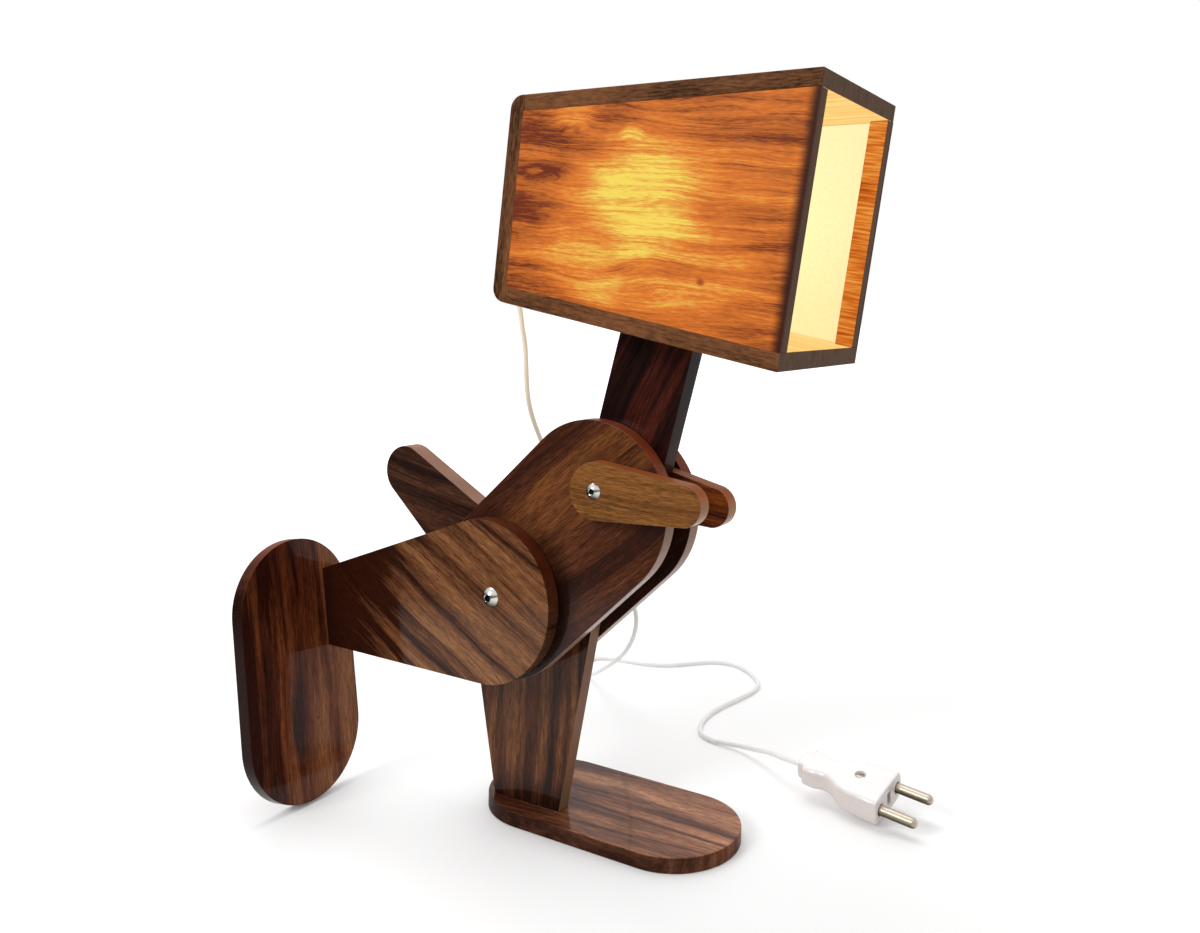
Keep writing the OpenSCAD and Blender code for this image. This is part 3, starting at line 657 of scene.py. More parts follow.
# In millimetres: half the shade's inner width, a board's thickness and seat, and a glow's soft edge
INNER_Y = 41.5
BOARD = 7.5
BOARD_SEAT = 1.0
GLOW_EDGE = 0.3

# Slopes in degrees: of the bottom board, and of the ways that the back and the mouth face
BOTTOM_SLOPE = -10.17
BACK_SLOPE = -5.1
MOUTH_SLOPE = -8.3
MOUTH_WAY = in_plane(MOUTH_SLOPE)


def reach_along(node, direction):
    """The lowest and highest a node reaches along a direction, in millimetres."""
    way = Vector(direction) * 1000
    reach = [way.dot(vertex.co) for vertex in cad_nodes[node].data.vertices]
    return min(reach), max(reach)


def walnut_board(name, along, through, settings, seed):
    """A dry oiled walnut board's material under construction, its grain and its surface's inputs."""
    shader = Shader(name)
    grain = Grain(shader, along, through)
    ripple = grain.noise(40.0, 10.0, 20.0, seed + 1.0) - 0.5
    across = grain.across + ripple * 3.0
    streaks = grain.noise(90.0, 3.0, 10.0, seed, 3.0, 0.65, across)
    fibres = grain.noise(5.0, 0.55, 0.8, seed + 2.0, 3.0, 0.65)
    tone = streaks.step(0.3, 0.7) * 0.55 + fibres.step(0.3, 0.7) * 0.45
    walnut = settings.walnut
    colour = shader.ramp(tone, [
        (0.16, shaded(walnut, 0.28)), (0.5, rgba(walnut)), (0.84, shaded(walnut, 1.6)),
    ])
    front = shader.dot(shader.facing(), MOUTH_WAY).step(0.75, 0.95)
    colour = shader.blend(colour, rgba(settings.end_grain), front * 0.75)
    return shader, grain, {
        "Base Color": colour,
        "Roughness": fibres * 0.1 + 0.5,
        "Normal": shader.bump(fibres, 0.00005, 0.5),
        "Specular IOR Level": 0.05,
    }


def lit_board(name, along, through, inward, span, settings, seed):
    """A walnut board whose inner face glows over a span along its grain, in millimetres."""
    shader, grain, inputs = walnut_board(name, along, through, settings, seed)
    inside = shader.dot(shader.facing(), inward).step(0.8, 0.95)
    side = grain.distance(BOLT_WAY)
    side = side * side
    low, high = span
    inside = inside * side.step(INNER_Y**2, (INNER_Y + GLOW_EDGE) ** 2, 1.0, 0.0)
    inside = inside * grain.along.step(low, low + GLOW_EDGE)
    inside = inside * grain.along.step(high, high + GLOW_EDGE, 1.0, 0.0)
    figure = grain.noise(60.0, 3.0, 9.0, seed + 4.0, 3.0, 0.6).step(0.3, 0.7)
    glow = shader.ramp(figure, [(0.0, srgb(246, 186, 96)), (1.0, srgb(254, 228, 146))])
    inputs["Emission Color"] = shader.blend(UNLIT, glow, inside)
    inputs["Emission Strength"] = INNER_GLOW
    return shader.surface(inputs)


def lit_stile(name, inward, settings, seed):
    """A mouth stile, glowing orange on the face that it turns to the bulb."""
    shader, _, inputs = walnut_board(name, in_plane(MOUTH_SLOPE + 90), BOLT_WAY, settings, seed)
    inside = shader.dot(shader.facing(), inward).step(0.8, 0.95)
    cross_grain = Grain(shader, MOUTH_WAY, BOLT_WAY)
    figure = cross_grain.noise(18.0, 1.1, 9.0, seed + 4.0, 3.0, 0.65).step(0.3, 0.7)
    patches = cross_grain.noise(40.0, 14.0, 30.0, seed + 6.0).step(0.3, 0.7)
    tone = figure * 0.6 + patches * 0.4
    glow = shader.ramp(tone, [
        (0.1, srgb(172, 70, 14)), (0.5, srgb(222, 118, 36)), (0.9, srgb(250, 170, 76)),
    ])
    inputs["Base Color"] = shader.blend(inputs["Base Color"], srgb(60, 26, 8), inside)
    inputs["Emission Color"] = shader.blend(UNLIT, glow, inside)
    inputs["Emission Strength"] = INNER_GLOW
    return shader.surface(inputs)


# How far below the bright spot the veneers' wider and fainter glow lies, in millimetres
LOWER_GLOW = 26.0

# Knots of the veneers: X and Z in millimetres, half width, half height, pull on the grain, and glow
KNOTS = (
    (54.0, 333.5, 7.0, 4.6, 2.2, 0.30),
    (84.0, 325.0, 4.2, 3.0, 1.6, 0.24),
    (37.0, 310.5, 12.0, 3.4, 3.4, -0.44),
    (33.0, 311.0, 3.6, 1.1, 0.0, 0.46),
    (30.0, 297.0, 15.0, 5.0, 1.5, -0.18),
    (31.0, 281.0, 12.0, 4.0, -1.5, -0.12),
    (118.0, 262.0, 1.3, 1.1, 0.8, -0.60),
)


def lit_veneer(name, settings, seed):
    """Thin veneer lit from behind: grain that runs round knots, under a bright spot."""
    shader = Shader(name)
    grain = Grain(shader, in_plane(-6), BOLT_WAY)
    x = grain.distance(AHEAD)
    z = grain.distance(UPWARDS)
    wander = grain.noise(110.0, 34.0, 90.0, seed) - 0.5
    ripple = grain.noise(24.0, 9.0, 90.0, seed + 1.4, 3.0, 0.6) - 0.5
    across = grain.across + wander * 22.0 + ripple * 2.6
    eyes = 0.0
    for eye_x, eye_z, half_w, half_h, pull, glow in KNOTS:
        off_x = (x - eye_x) / half_w
        off_z = (z - eye_z) / half_h
        near = (off_x * off_x + off_z * off_z).step(0.0, 3.2, 1.0, 0.0)
        across = across + near * pull
        eyes = near * glow + eyes
    bands = grain.noise(110.0, 6.0, 60.0, seed + 2.0, 3.0, 0.6, across).step(0.30, 0.70)
    lines = grain.noise(26.0, 1.2, 60.0, seed + 6.0, 3.0, 0.7, across).step(0.30, 0.70)
    fibres = grain.noise(4.0, 0.55, 60.0, seed + 8.0, 3.0, 0.65)
    threads = grain.noise(60.0, 0.7, 60.0, seed + 4.4, 2.0, 0.6, across).step(0.57, 0.68)
    clouds = grain.noise(42.0, 20.0, 90.0, seed + 3.3).step(0.3, 0.7)
    figure = bands * 0.50 + lines * 0.28 + fibres * 0.90 + clouds * 0.36 - threads * 0.24 - 0.455 + eyes
    spot_r = settings.spot * 1000
    spot_x = (x - settings.spot_x * 1000) / spot_r
    spot_z = (z - settings.spot_z * 1000) / spot_r
    away = spot_x * spot_x + spot_z * spot_z
    low_z = (z - settings.spot_z * 1000 + LOWER_GLOW) / spot_r
    below = spot_x * spot_x * 0.8 + low_z * low_z
    glow = away.step(0.0, 2.6, 0.29, 0.0) + below.step(0.0, 9.0, 0.23, 0.0)
    rear = x.step(24.0, 76.0, -0.15, 0.0)
    level = figure * 0.70 + glow + rear - 0.02
    colour = shader.ramp(level, [
        (0.05, rgba(settings.ember)),
        (0.34, mixed(settings.ember, settings.amber, 0.60)),
        (0.58, rgba(settings.amber)),
        (0.80, mixed(settings.amber, settings.flame, 0.40)),
        (1.0, rgba(settings.flame)),
    ])
    # Painted shadow where the stile behind the veneer keeps off the bulb's light
    front = reach_along("veneer_near", MOUTH_WAY)[1] - grain.distance(MOUTH_WAY)
    shadow = front.step(settings.edge * 100, settings.edge * 1000)
    return shader.surface({
        "Base Color": shader.ramp(figure, [(0.2, srgb(26, 10, 3)), (0.9, srgb(46, 22, 8))]),
        "Roughness": fibres * 0.1 + 0.5,
        "Emission Color": shader.blend(shaded(settings.ember, 0.2), colour, shadow),
        "Emission Strength": 0.9,
        "Normal": shader.bump(fibres, 0.00003, 0.4),
        "Specular IOR Level": 0.15,
    })


class LAMP_OT_shade(bpy.types.Operator):
    """Finish the shade's boards, veneers, stiles and liners"""

    bl_idname = "robot_lamp.shade"
    bl_label = "Shade"

    def execute(self, context):
        wood = context.scene.lamp_wood
        light = context.scene.lamp_shade
        boards = [
            ("shade_top", AHEAD, UPWARDS, -1.0, 0.0, 5.5),
            ("shade_bottom", in_plane(BOTTOM_SLOPE), in_plane(BOTTOM_SLOPE + 90), 1.0, 0.0, 15.2),
            ("shade_back", in_plane(BACK_SLOPE + 90), in_plane(BACK_SLOPE), 1.0, BOARD, 25.8),
        ]
        for node, along, through, side, end, seed in boards:
            low, high = reach_along(node, along)
            span = (low + end + BOARD_SEAT, high - end - BOARD_SEAT)
            inward = tuple(Vector(through) * side)
            board = lit_board("walnut_" + node, along, through, inward, span, wood, seed)
            finish(board, node, arris=BOARD_ARRIS)
        for node, side, seed in (("stile_near", 1.0, 35.1), ("stile_far", -1.0, 45.6)):
            stile = lit_stile("walnut_" + node, (0.0, side, 0.0), wood, seed)
            finish(stile, node, arris=STILE_ARRIS)
        for node, seed in (("veneer_near", 12.0), ("veneer_far", 32.0)):
            finish(lit_veneer("lit_" + node, light, seed), node)
        finish(self.paper(light), "liner_near", "liner_far")
        return {"FINISHED"}

    def paper(self, light):
        shader = Shader("paper_liner")
        grain = Grain(shader, AHEAD, BOLT_WAY)
        fleck = grain.noise(2.0, 2.0, 2.0, 0.0, 3.0).step(0.3, 0.7)
        low_end = grain.distance(UPWARDS).step(232.0, 300.0)
        front = reach_along("liner_near", MOUTH_WAY)[1] - grain.distance(MOUTH_WAY)
        joint = front.step(0.1, 0.7, 1.0, 0.0)
        sheet = shader.blend(shaded(light.paper, 0.95), rgba(light.paper), fleck)
        glow = shader.blend(srgb(252, 228, 160), rgba(light.paper), low_end)
        return shader.surface({
            "Base Color": shader.blend(shaded(light.paper, 0.22), shaded(light.paper, 0.26), fleck),
            "Roughness": fleck * 0.1 + 0.75,
            "Emission Color": shader.blend(shader.blend(glow, sheet, 0.4), srgb(150, 96, 40), joint * 0.8),
            "Emission Strength": 0.88,
            "Specular IOR Level": 0.1,
        })


# ---- Bulb and holder ----


class LAMP_OT_bulb(bpy.types.Operator):
    """Finish the bulb, its holder and the strain relief"""

    bl_idname = "robot_lamp.bulb"
    bl_label = "Bulb and holder"

    def execute(self, context):
        light = context.scene.lamp_shade
        shader = Shader("opal_globe")
        haze = shader.specks(40.0)
        glow = shader.blend(srgb(255, 226, 160), srgb(255, 240, 196), haze.step(0.3, 0.7))
        globe = shader.surface({
            "Base Color": glow, "Roughness": 0.3, "Emission Color": glow, "Emission Strength": light.bulb,
        })
        finish(globe, "bulb_globe")
        shader = Shader("holder_moulding")
        grain = shader.specks(900.0)
        moulding = shader.surface({
            "Base Color": shader.blend(srgb(222, 220, 214), srgb(236, 234, 229), grain),
            "Roughness": grain * 0.1 + 0.42,
            "Normal": shader.bump(grain, 0.00002, 0.4),
        })
        finish(moulding, "holder_base", "holder_barrel", "bulb_collar", "strain_relief", arris=MOULDING_ARRIS)
        return {"FINISHED"}


# ---- Metal ----


def metal(name, dark, light, roughness, marks_to_metre=900.0):
    """Polished metal whose reflection is painted: lighter where it faces above and ahead, darker below."""
    shader = Shader(name)
    marks = shader.specks(marks_to_metre, 3.0)
    towards_light = shader.dot(shader.facing(), (0.62, -0.05, 0.78))
    painted_sheen = (towards_light + marks * 0.3).step(-0.25, 0.75)
    return shader.surface({
        "Base Color": shader.blend(srgb(*dark), srgb(*light), painted_sheen),
        "Metallic": 1.0,
        "Roughness": marks * 0.14 + roughness,
        "Normal": shader.bump(marks, 0.000008, 0.35),
    })


# Bolts: shaft diameter, head height and socket width across its flats, in millimetres
BOLTS = {"hip_bolt": (5.0, 2.75, 3.0), "shoulder_bolt": (4.0, 2.2, 2.4)}
BOLT_SIDES = 48
HEAD_STEPS = 8

# A socket's depth as a share of the head's height, then in millimetres the land round the socket,
# the lead into it, the tip at its bottom and the chamfer at the shaft's end
SOCKET_DEPTH = 0.65
SOCKET_LAND = 0.25
SOCKET_LEAD = 0.12
SOCKET_END = 0.3
SHAFT_CHAMFER = 0.4


def hexagon(turn):
    """How far the edge of a hexagon lies from its centre, where its flats lie at 1."""
    sixth = math.pi / 3
    return 1 / math.cos(turn % sixth - sixth / 2)


def button_bolt(node, steel, socket_shade):
    """A button-head bolt with a hex socket, in place of the CAD one and just inside it."""
    shaft_d, head_h, socket_w = BOLTS[node]
    low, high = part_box(node)
    centre_x, centre_z = (low[0] + high[0]) / 2, (low[2] + high[2]) / 2
    head_r = (high[0] - low[0]) * 500
    top, end = low[1] * 1000, high[1] * 1000
    ball_r = (head_r**2 + head_h**2) / (2 * head_h)
    rim = socket_w / 2 * hexagon(0) + SOCKET_LAND
    steps = [head_r + (rim - head_r) * i / HEAD_STEPS for i in range(HEAD_STEPS + 1)]
    dome = [(r, top + ball_r - math.sqrt(ball_r**2 - r**2), False) for r in steps]
    floor = top + SOCKET_DEPTH * head_h
    mouth = dome[-1][1] + SOCKET_LEAD
    socket = [
        (socket_w / 2, mouth, True),
        (socket_w / 2, floor, True),
        (SOCKET_END, floor + SOCKET_END, False),
    ]
    shaft = [
        (shaft_d / 2 - SHAFT_CHAMFER, end, False),
        (shaft_d / 2, end - SHAFT_CHAMFER, False),
        (shaft_d / 2, top + head_h, False),
    ]
    rings = []
    for r, y, six_sided in shaft + dome + socket:
        ring = []
        for k in range(BOLT_SIDES):
            turn = 2 * math.pi * k / BOLT_SIDES
            out = r * (hexagon(turn) if six_sided else 1.0) / 1000
            ring.append((centre_x + out * math.cos(turn), y / 1000, centre_z + out * math.sin(turn)))
        rings.append(ring)
    bolt = new_piece("turned_" + node, *skin(rings), steel, body_of(cad_nodes[node])[0], 35.0)
    bolt.data.materials.append(socket_shade)
    # The socket's faces take the painted shade of the recess
    socket_faces = BOLT_SIDES * 2 + 1
    for face in bolt.data.polygons[-socket_faces:]:
        face.material_index = 1
    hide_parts(node)


class LAMP_OT_fasteners(bpy.types.Operator):
    """Finish the bolts, nuts, washers, screws and plug pins"""

    bl_idname = "robot_lamp.fasteners"
    bl_label = "Fasteners"

    def execute(self, context):
        # Each metal's dark and light colours are its painted reflection below and above
        stainless = metal("stainless", (74, 72, 66), (232, 229, 222), 0.14, (2200.0, 300.0, 2200.0))
        screw = metal("screw_steel", (120, 118, 110), (196, 194, 186), 0.3)
        nickel = metal("nickel", (92, 82, 66), (206, 196, 178), 0.34, 120.0)
        brass = metal("contact_brass", (150, 120, 60), (222, 188, 108), 0.28)
        dull = metal("dull_screw", (196, 184, 174), (226, 216, 208), 0.7)
        # Painted shade for the insides of the bolts' sockets
        socket_shade = metal("socket_painted_shade", (12, 12, 12), (46, 44, 42), 0.5)
        for node in BOLTS:
            button_bolt(node, stainless, socket_shade)
        finish(stainless, "hip_nut", "shoulder_nut", arris=NUT_ARRIS)
        finish(stainless, "hip_washers", "shoulder_washers")
        finish(screw, "foot_screws", "rear_foot_screws", "neck_screws", "holder_screws")
        finish(nickel, "plug_pins", "bulb_cap")
        finish(brass, "holder_contact")
        finish(dull, "plug_screw")
        return {"FINISHED"}


# ---- Cord and plug ----

# Heights in metres between which the cord gets a painted warm glow of the lit shade
PAINTED_GLOW_HEIGHTS = (0.12, 0.22)

# Centreline from the shade's back to the plug, in millimetres
CORD_ROUTE = [
    (-7, 0, 271), (-12, 0.8, 270.8), (-18, 4, 268.5), (-21.5, 9.5, 263), (-23, 15, 256), (-22, 18, 249),
    (-22, 21, 238), (-22, 24, 227), (-23, 29, 200), (-23, 40, 179), (-20, 52, 159), (-14, 65, 140),
    (-3, 85, 105), (3, 98, 80), (-1, 108, 64), (-14, 121, 46), (-33, 137, 30), (-58, 158, 13),
    (-72, 170, 5), (-84, 181, 2), (-91.5, 190.5, 1.5), (-94, 200.5, 1.5), (-89, 208.5, 1.5), (-77, 212, 1.5),
    (-58, 215, 1.5), (-42, 222, 1.5), (-21, 243, 1.5), (-5, 247, 1.5), (11, 239, 1.5), (24, 225, 1.5),
    (28, 211, 1.5), (26, 192, 1.5), (23, 176, 1.5), (22, 161, 1.5), (24, 146, 1.5), (30, 133, 1.5),
    (40, 127, 1.5), (50, 126, 2), (60, 124, 3.5), (72, 118, 6.5), (85, 110, 10.5), (97, 102, 13),
    (110, 98, 14),
]


def smooth_line(route, steps):
    """Points in metres on one smooth line through a route in millimetres."""
    points = [Vector(p) / 1000 for p in route]
    last = len(points) - 1
    line = []
    for i in range(last):
        a, b = points[max(i - 1, 0)], points[i]
        c, d = points[i + 1], points[min(i + 2, last)]
        for k in range(steps):
            t = k / steps
            bend = 2 * a - 5 * b + 4 * c - d
            twist = 3 * b - a - 3 * c + d
            line.append((2 * b + (c - a) * t + bend * t**2 + twist * t**3) / 2)
    return line + [points[last]]


def tube_rings(line, radius, sides):
    """Rings of points round a line, without twist."""
    rings = []
    across = None
    for i, centre in enumerate(line):
        ahead = (line[min(i + 1, len(line) - 1)] - line[max(i - 1, 0)]).normalized()
        across = ahead.orthogonal() if across is None else across - ahead * across.dot(ahead)
        across.normalize()
        up = ahead.cross(across)
        turns = [2 * math.pi * k / sides for k in range(sides)]
        rings.append([centre + radius * (math.cos(t) * across + math.sin(t) * up) for t in turns])
    return rings


class LAMP_OT_cord(bpy.types.Operator):
    """Make the cord from the shade's back to the plug"""

    bl_idname = "robot_lamp.cord"
    bl_label = "Cord"

    def execute(self, context):
        settings = context.scene.lamp_cord
        line = smooth_line(CORD_ROUTE, settings.steps)
        length = sum((b - a).length for a, b in zip(line, line[1:]))
        shader = Shader("cord_sheath")
        marks = shader.specks(700.0)
        # Painted light of the shade's glow on the upper cord, in its colour and a faint emission
        painted_glow = shader.dot(shader.place(), UPWARDS).step(*PAINTED_GLOW_HEIGHTS)
        sheath = shader.blend(rgba(settings.sheath), srgb(255, 240, 214), painted_glow)
        colour = shader.blend(sheath, shaded(settings.sheath, 0.92), marks.step(0.45, 0.9))
        material = shader.surface({
            "Base Color": colour,
            "Roughness": marks * 0.12 + 0.38,
            "Emission Color": shader.blend(UNLIT, srgb(255, 222, 180), painted_glow),
            "Emission Strength": 0.14,
            "Normal": shader.bump(marks, 0.00003, 0.4),
        })
        cord = new_piece("cord", *skin(tube_rings(line, settings.diameter / 2, settings.sides)), material)
        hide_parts("cord_drop", "cord_floor")
        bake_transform(cord, "head", "torso", start=(-0.022, 0.0, 0.262), end=(-0.022, 0.0, 0.06))
        finish(material, "holder_lead")
        return {"FINISHED"}


# The plug, in millimetres and degrees; its own X runs from the nose out of the pin face
PLUG_AT = (157.4, 92.4, 10.9)
PLUG_TURN = (13.0, 4.0, -6.5)
PLUG_SIDES = 64
CUTTER_SIDES = 32
PIN_PITCH = 19.0
SCREW_X = -15.5

# Hollows of the plug in millimetres: radius or half sizes, and where or how deep each is cut
WELL_R = 2.85
WELL_HEIGHTS = (6.0, 9.0)
SEAT_R = 3.0
SEAT_DEPTH = 0.9
SLOT_HALF_W = 1.9
SLOT_HALF_T = 3.6
SLOT_DEPTH = 1.3
CORD_HOLE_R = 1.9
CORD_HOLE_ENDS = (-50.0, -47.0)
OUTSIDE = 1.0

# Squareness of a ring: 2 is round, and a higher one comes nearer to a square
ROUND = 2.0
SQUARE = 12.0

# Sections of the plug from nose to pins: place along it, half width, half thickness, squareness
PLUG_SECTIONS = (
    (-49.0, 4.8, 4.6, 3.0), (-48.3, 5.8, 5.4, 3.0), (-45.4, 6.0, 5.6, 3.0), (-45.2, 7.9, 5.7, 3.2),
    (-44.4, 9.0, 6.1, 3.4), (-42.0, 9.25, 6.25, 3.4), (-39.0, 9.2, 6.25, 3.4), (-36.8, 8.7, 6.25, 3.2),
    (-34.5, 8.0, 6.25, 3.0), (-31.8, 7.9, 6.25, 3.0), (-29.0, 8.6, 6.4, 3.0), (-26.0, 10.4, 6.7, 3.2),
    (-23.0, 12.2, 6.95, 3.4), (-19.5, 13.5, 7.2, 3.8), (-14.0, 14.3, 7.4, 4.2), (-8.0, 14.65, 7.48, 4.6),
    (-1.4, 14.7, 7.48, 4.8), (-0.5, 14.45, 7.25, 4.8), (-0.1, 13.9, 6.75, 4.6), (0.0, 13.2, 6.1, 4.4),
)


def plug_frame():
    """From the plug's own axes, whose X comes out of the pin face, to the scene's."""
    turn = Euler([math.radians(angle) for angle in PLUG_TURN])
    return Matrix.LocRotScale(Vector(PLUG_AT) / 1000, turn, (0.001, 0.001, 0.001))


def squared_ring(x, half_w, half_t, power, sides):
    """A ring across X: an ellipse that a higher power makes squarer."""
    ring = []
    for k in range(sides):
        turn = 2 * math.pi * k / sides
        c, s = math.cos(turn), math.sin(turn)
        y = math.copysign(abs(c) ** (2 / power), c) * half_w
        z = math.copysign(abs(s) ** (2 / power), s) * half_t
        ring.append((x, y, z))
    return ring


def carve(piece, cutters, sharp):
    """Cuts the cutters out of a piece for good, and removes them."""
    for cutter in cutters:
        cut = piece.modifiers.new("Cut", "BOOLEAN")
        cut.operation = "DIFFERENCE"
        cut.solver = "EXACT"
        cut.object = cutter
    graph = bpy.context.evaluated_depsgraph_get()
    piece.data = bpy.data.meshes.new_from_object(piece.evaluated_get(graph))
    piece.modifiers.clear()
    for cutter in cutters:
        bpy.data.objects.remove(cutter)
    smooth(piece.data, sharp)


class LAMP_OT_plug(bpy.types.Operator):
    """Mould the plug's shell"""

    bl_idname = "robot_lamp.plug"
    bl_label = "Plug"

    def execute(self, context):
        material = self.moulding(context.scene.lamp_cord)
        frame_of_plug = plug_frame()

        def solid(name, rings):
            points, faces = skin(rings)
            return new_piece(name, [frame_of_plug @ Vector(point) for point in points], faces, material)

        def hollow(places, half_w, half_t, power=ROUND):
            return [squared_ring(x, half_w, half_t, power, CUTTER_SIDES) for x in places]

        body = body_of(cad_nodes["plug_base"])[0]
        shell = solid("plug_shell", [squared_ring(*section, PLUG_SIDES) for section in PLUG_SECTIONS])
        well = hollow(WELL_HEIGHTS, WELL_R, WELL_R)
        hollows = [[[(SCREW_X + x, y, z) for z, x, y in ring] for ring in well]]
        seat = hollow((-SEAT_DEPTH, OUTSIDE), SEAT_R, SEAT_R)
        for shift in (-PIN_PITCH / 2, PIN_PITCH / 2):
            hollows.append([[(x, y + shift, z) for x, y, z in ring] for ring in seat])
        hollows.append(hollow((-SLOT_DEPTH, OUTSIDE), SLOT_HALF_W, SLOT_HALF_T, SQUARE))
        hollows.append(hollow(CORD_HOLE_ENDS, CORD_HOLE_R, CORD_HOLE_R))
        carve(shell, [solid("cutter", rings) for rings in hollows], 40.0)
        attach(shell, body)
        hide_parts("plug_base", "plug_cover")
        return {"FINISHED"}

    def moulding(self, settings):
        shader = Shader("plug_moulding")
        marks = shader.specks(260.0)
        ahead = plug_frame().to_3x3().normalized() @ Vector((1.0, 0.0, 0.0))
        along = shader.dot(shader.place(), ahead * 1000) - Vector(PLUG_AT).dot(ahead)
        # Painted shade on the floors of the pin seats near the pin face
        painted_shade_floors = shader.dot(shader.facing(), ahead).step(0.8, 0.95) * along.step(-0.6, -0.3, 1.0, 0.0)
        # Painted light: the top is whiter where it faces up, and the sides stay greyer
        top = shader.dot(shader.facing(), UPWARDS).step(0.1, 0.85)
        shell = shader.blend(rgba(settings.plug), srgb(255, 253, 252), top)
        colour = shader.blend(shell, shaded(settings.plug, 0.95), marks.step(0.4, 0.8) * (1.0 - top))
        return shader.surface({
            "Base Color": shader.blend(colour, srgb(142, 122, 104), painted_shade_floors * along.step(-20.0, -10.0)),
            "Roughness": marks * 0.1 + 0.2,
            "Normal": shader.bump(marks, 0.00002, 0.3),
            "Coat Weight": 0.3,
            "Coat Roughness": 0.1,
        })


# ---- Stage ----

# Where each lamp stands, where it aims and how wide it is, in metres
KEY_LAMP = ((-0.30, 0.10, 1.25), (0.02, 0.05, 0.1), 0.9)
FRONT_LAMP = ((-0.35, -1.15, 0.80), (0.0, 0.0, 0.15), 0.5)

# The floor's half width and its drop below the soles, in metres
FLOOR_HALF = 12.0
FLOOR_DROP = 0.0002
SQUARE_CORNERS = ((-1, -1), (1, -1), (1, 1), (-1, 1))

# The way to the floor's unlit part and where it begins along it, and the way to the room's unlit side
DIM_WAY = (-0.6, -0.8, 0.0)
SHEET_END = (0.34, 0.46)
UNLIT_WAY = (0.1, -0.99, 0.0)


def area_lamp(name, place, aim, size, power):
    lamp = bpy.data.lights.new(name, "AREA")
    lamp.shape = "DISK"
    lamp.size = size
    lamp.energy = power
    holder = bpy.data.objects.new(name, lamp)
    holder.location = place
    holder.rotation_euler = (Vector(aim) - Vector(place)).to_track_quat("-Z", "Y").to_euler()
    bpy.context.scene.collection.objects.link(holder)


def white_room(strength, dim):
    """A room that is white above and behind, and dim low down on its unlit side."""
    room = Shader("White room", "worlds")
    bpy.context.scene.world = room.material
    white = (1.0, 1.0, 1.0, 1.0)
    camera = room.node("ShaderNodeLightPath", output="Is Camera Ray")
    glass = room.node("ShaderNodeLightPath", output="Is Transmission Ray")
    way = room.node("ShaderNodeTexCoord", output="Generated")
    height = room.dot(way, UPWARDS).step(0.1, 0.5)
    unlit = room.dot(way, UNLIT_WAY).step(-0.3, 0.4) * (1.0 - height)
    level = unlit.step(0.0, 1.0, strength, dim)
    grey = room.vector(level, level, level)
    lit = room.node("ShaderNodeBackground", None, {"Color": grey, "Strength": 1.0})
    seen = room.node("ShaderNodeBackground", None, {"Color": white, "Strength": 1.0})
    mix = room.node("ShaderNodeMixShader", None, {0: (camera + glass), 1: lit, 2: seen})
    room.node("ShaderNodeOutputWorld", None, {"Surface": mix})


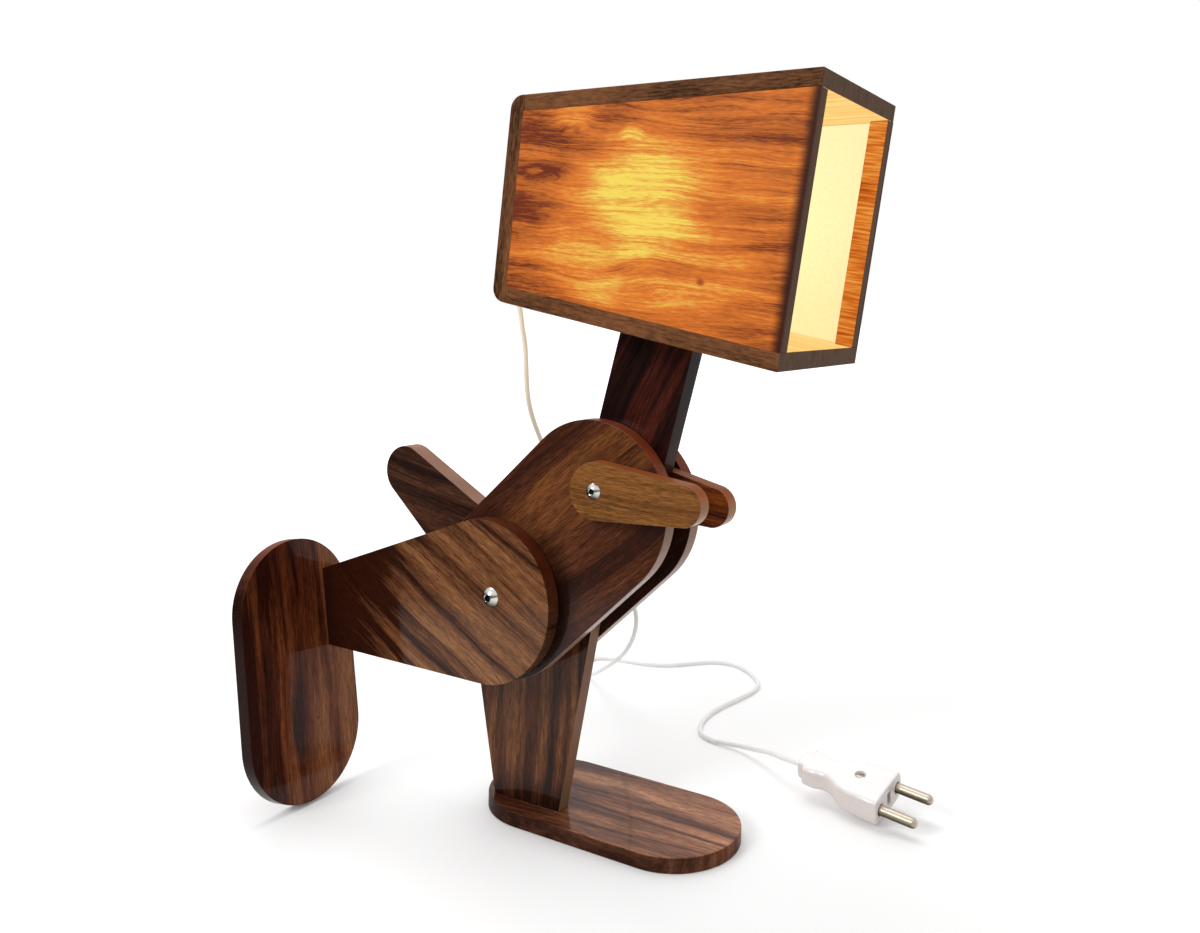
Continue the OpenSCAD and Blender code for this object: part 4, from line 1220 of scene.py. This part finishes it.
class LAMP_OT_stage(bpy.types.Operator):
    """Lay the floor, light the room and set up the camera"""

    bl_idname = "robot_lamp.stage"
    bl_label = "Stage"

    def execute(self, context):
        settings = context.scene.lamp_stage
        scene = context.scene
        scene.view_settings.view_transform = "Standard"
        white_room(settings.room, settings.dim)
        area_lamp("Key", *KEY_LAMP, settings.key)
        area_lamp("Front", *FRONT_LAMP, settings.front)
        shader = Shader("studio_floor")
        place = shader.place()
        far = (shader.dot(place, AHEAD) ** 2 + shader.dot(place, BOLT_WAY) ** 2) ** 0.5
        speck = shader.specks(8.0)
        seen = shader.node("ShaderNodeLightPath", output="Is Camera Ray")
        paper = shader.blend(rgba(settings.floor), shaded(settings.floor, 0.985), speck.step(0.35, 0.75))
        beyond = shader.dot(place, DIM_WAY).step(*SHEET_END) * (1.0 - seen)
        paper = shader.blend(paper, shaded(settings.floor, 0.06), beyond)
        lift = seen * far.step(0.25, 1.2, settings.lift, 0.6)
        material = shader.surface({
            "Base Color": paper,
            "Roughness": speck * 0.1 + 0.5,
            "Specular IOR Level": 0.15,
            "Emission Color": shader.vector(lift, lift, lift),
            "Emission Strength": 1.0,
        })
        corners = [(x * FLOOR_HALF, y * FLOOR_HALF, -FLOOR_DROP) for x, y in SQUARE_CORNERS]
        floor = new_piece("studio_floor", corners, [(0, 1, 2, 3)], material)
        self.add_camera(scene, settings)
        return {"FINISHED"}

    def add_camera(self, scene, settings):
        lens = bpy.data.cameras.new("Camera")
        lens.sensor_width = 36.0
        lens.lens = settings.lens
        lens.shift_x = settings.shift_x
        lens.shift_y = settings.shift_y
        lens.clip_start = 0.01
        lens.clip_end = 60.0
        camera = bpy.data.objects.new("Camera", lens)
        scene.collection.objects.link(camera)
        turn = Euler((math.radians(90) - settings.pitch, 0.0, settings.yaw)).to_matrix().to_4x4()
        roll = Matrix.Rotation(settings.roll, 4, "Z")
        camera.matrix_world = Matrix.Translation(settings.eye) @ turn @ roll
        scene.camera = camera


# ---- Panel and start ----


class LAMP_PT_panel(bpy.types.Panel):
    """Sidebar panel of the robot lamp"""

    bl_idname = "LAMP_PT_panel"
    bl_label = "Robot Lamp"
    bl_space_type = "VIEW_3D"
    bl_region_type = "UI"
    bl_category = "Robot Lamp"

    def draw(self, context):
        scene = context.scene
        for group in (scene.lamp_wood, scene.lamp_shade, scene.lamp_cord, scene.lamp_stage):
            box = self.layout.box()
            for name in group.bl_rna.properties.keys():
                if name not in ("rna_type", "name"):
                    box.prop(group, name)
        for operator in OPERATORS:
            self.layout.operator(operator.bl_idname)


SETTINGS = {
    "lamp_wood": LampWoodSettings,
    "lamp_shade": LampShadeSettings,
    "lamp_cord": LampCordSettings,
    "lamp_stage": LampStageSettings,
}
OPERATORS = [
    LAMP_OT_stage, LAMP_OT_plug, LAMP_OT_cord, LAMP_OT_planks, LAMP_OT_arms, LAMP_OT_shade,
    LAMP_OT_bulb, LAMP_OT_fasteners,
]


def register():
    for group in (*SETTINGS.values(), *OPERATORS, LAMP_PT_panel):
        bpy.utils.register_class(group)
    for name, group in SETTINGS.items():
        setattr(bpy.types.Scene, name, PointerProperty(type=group))


def unregister():
    for name in SETTINGS:
        delattr(bpy.types.Scene, name)
    for group in reversed((*SETTINGS.values(), *OPERATORS, LAMP_PT_panel)):
        bpy.utils.unregister_class(group)


def main():
    register()
    for operator in OPERATORS:
        getattr(bpy.ops.robot_lamp, operator.bl_idname.split(".")[1])()


if __name__ == "__main__":
    main()
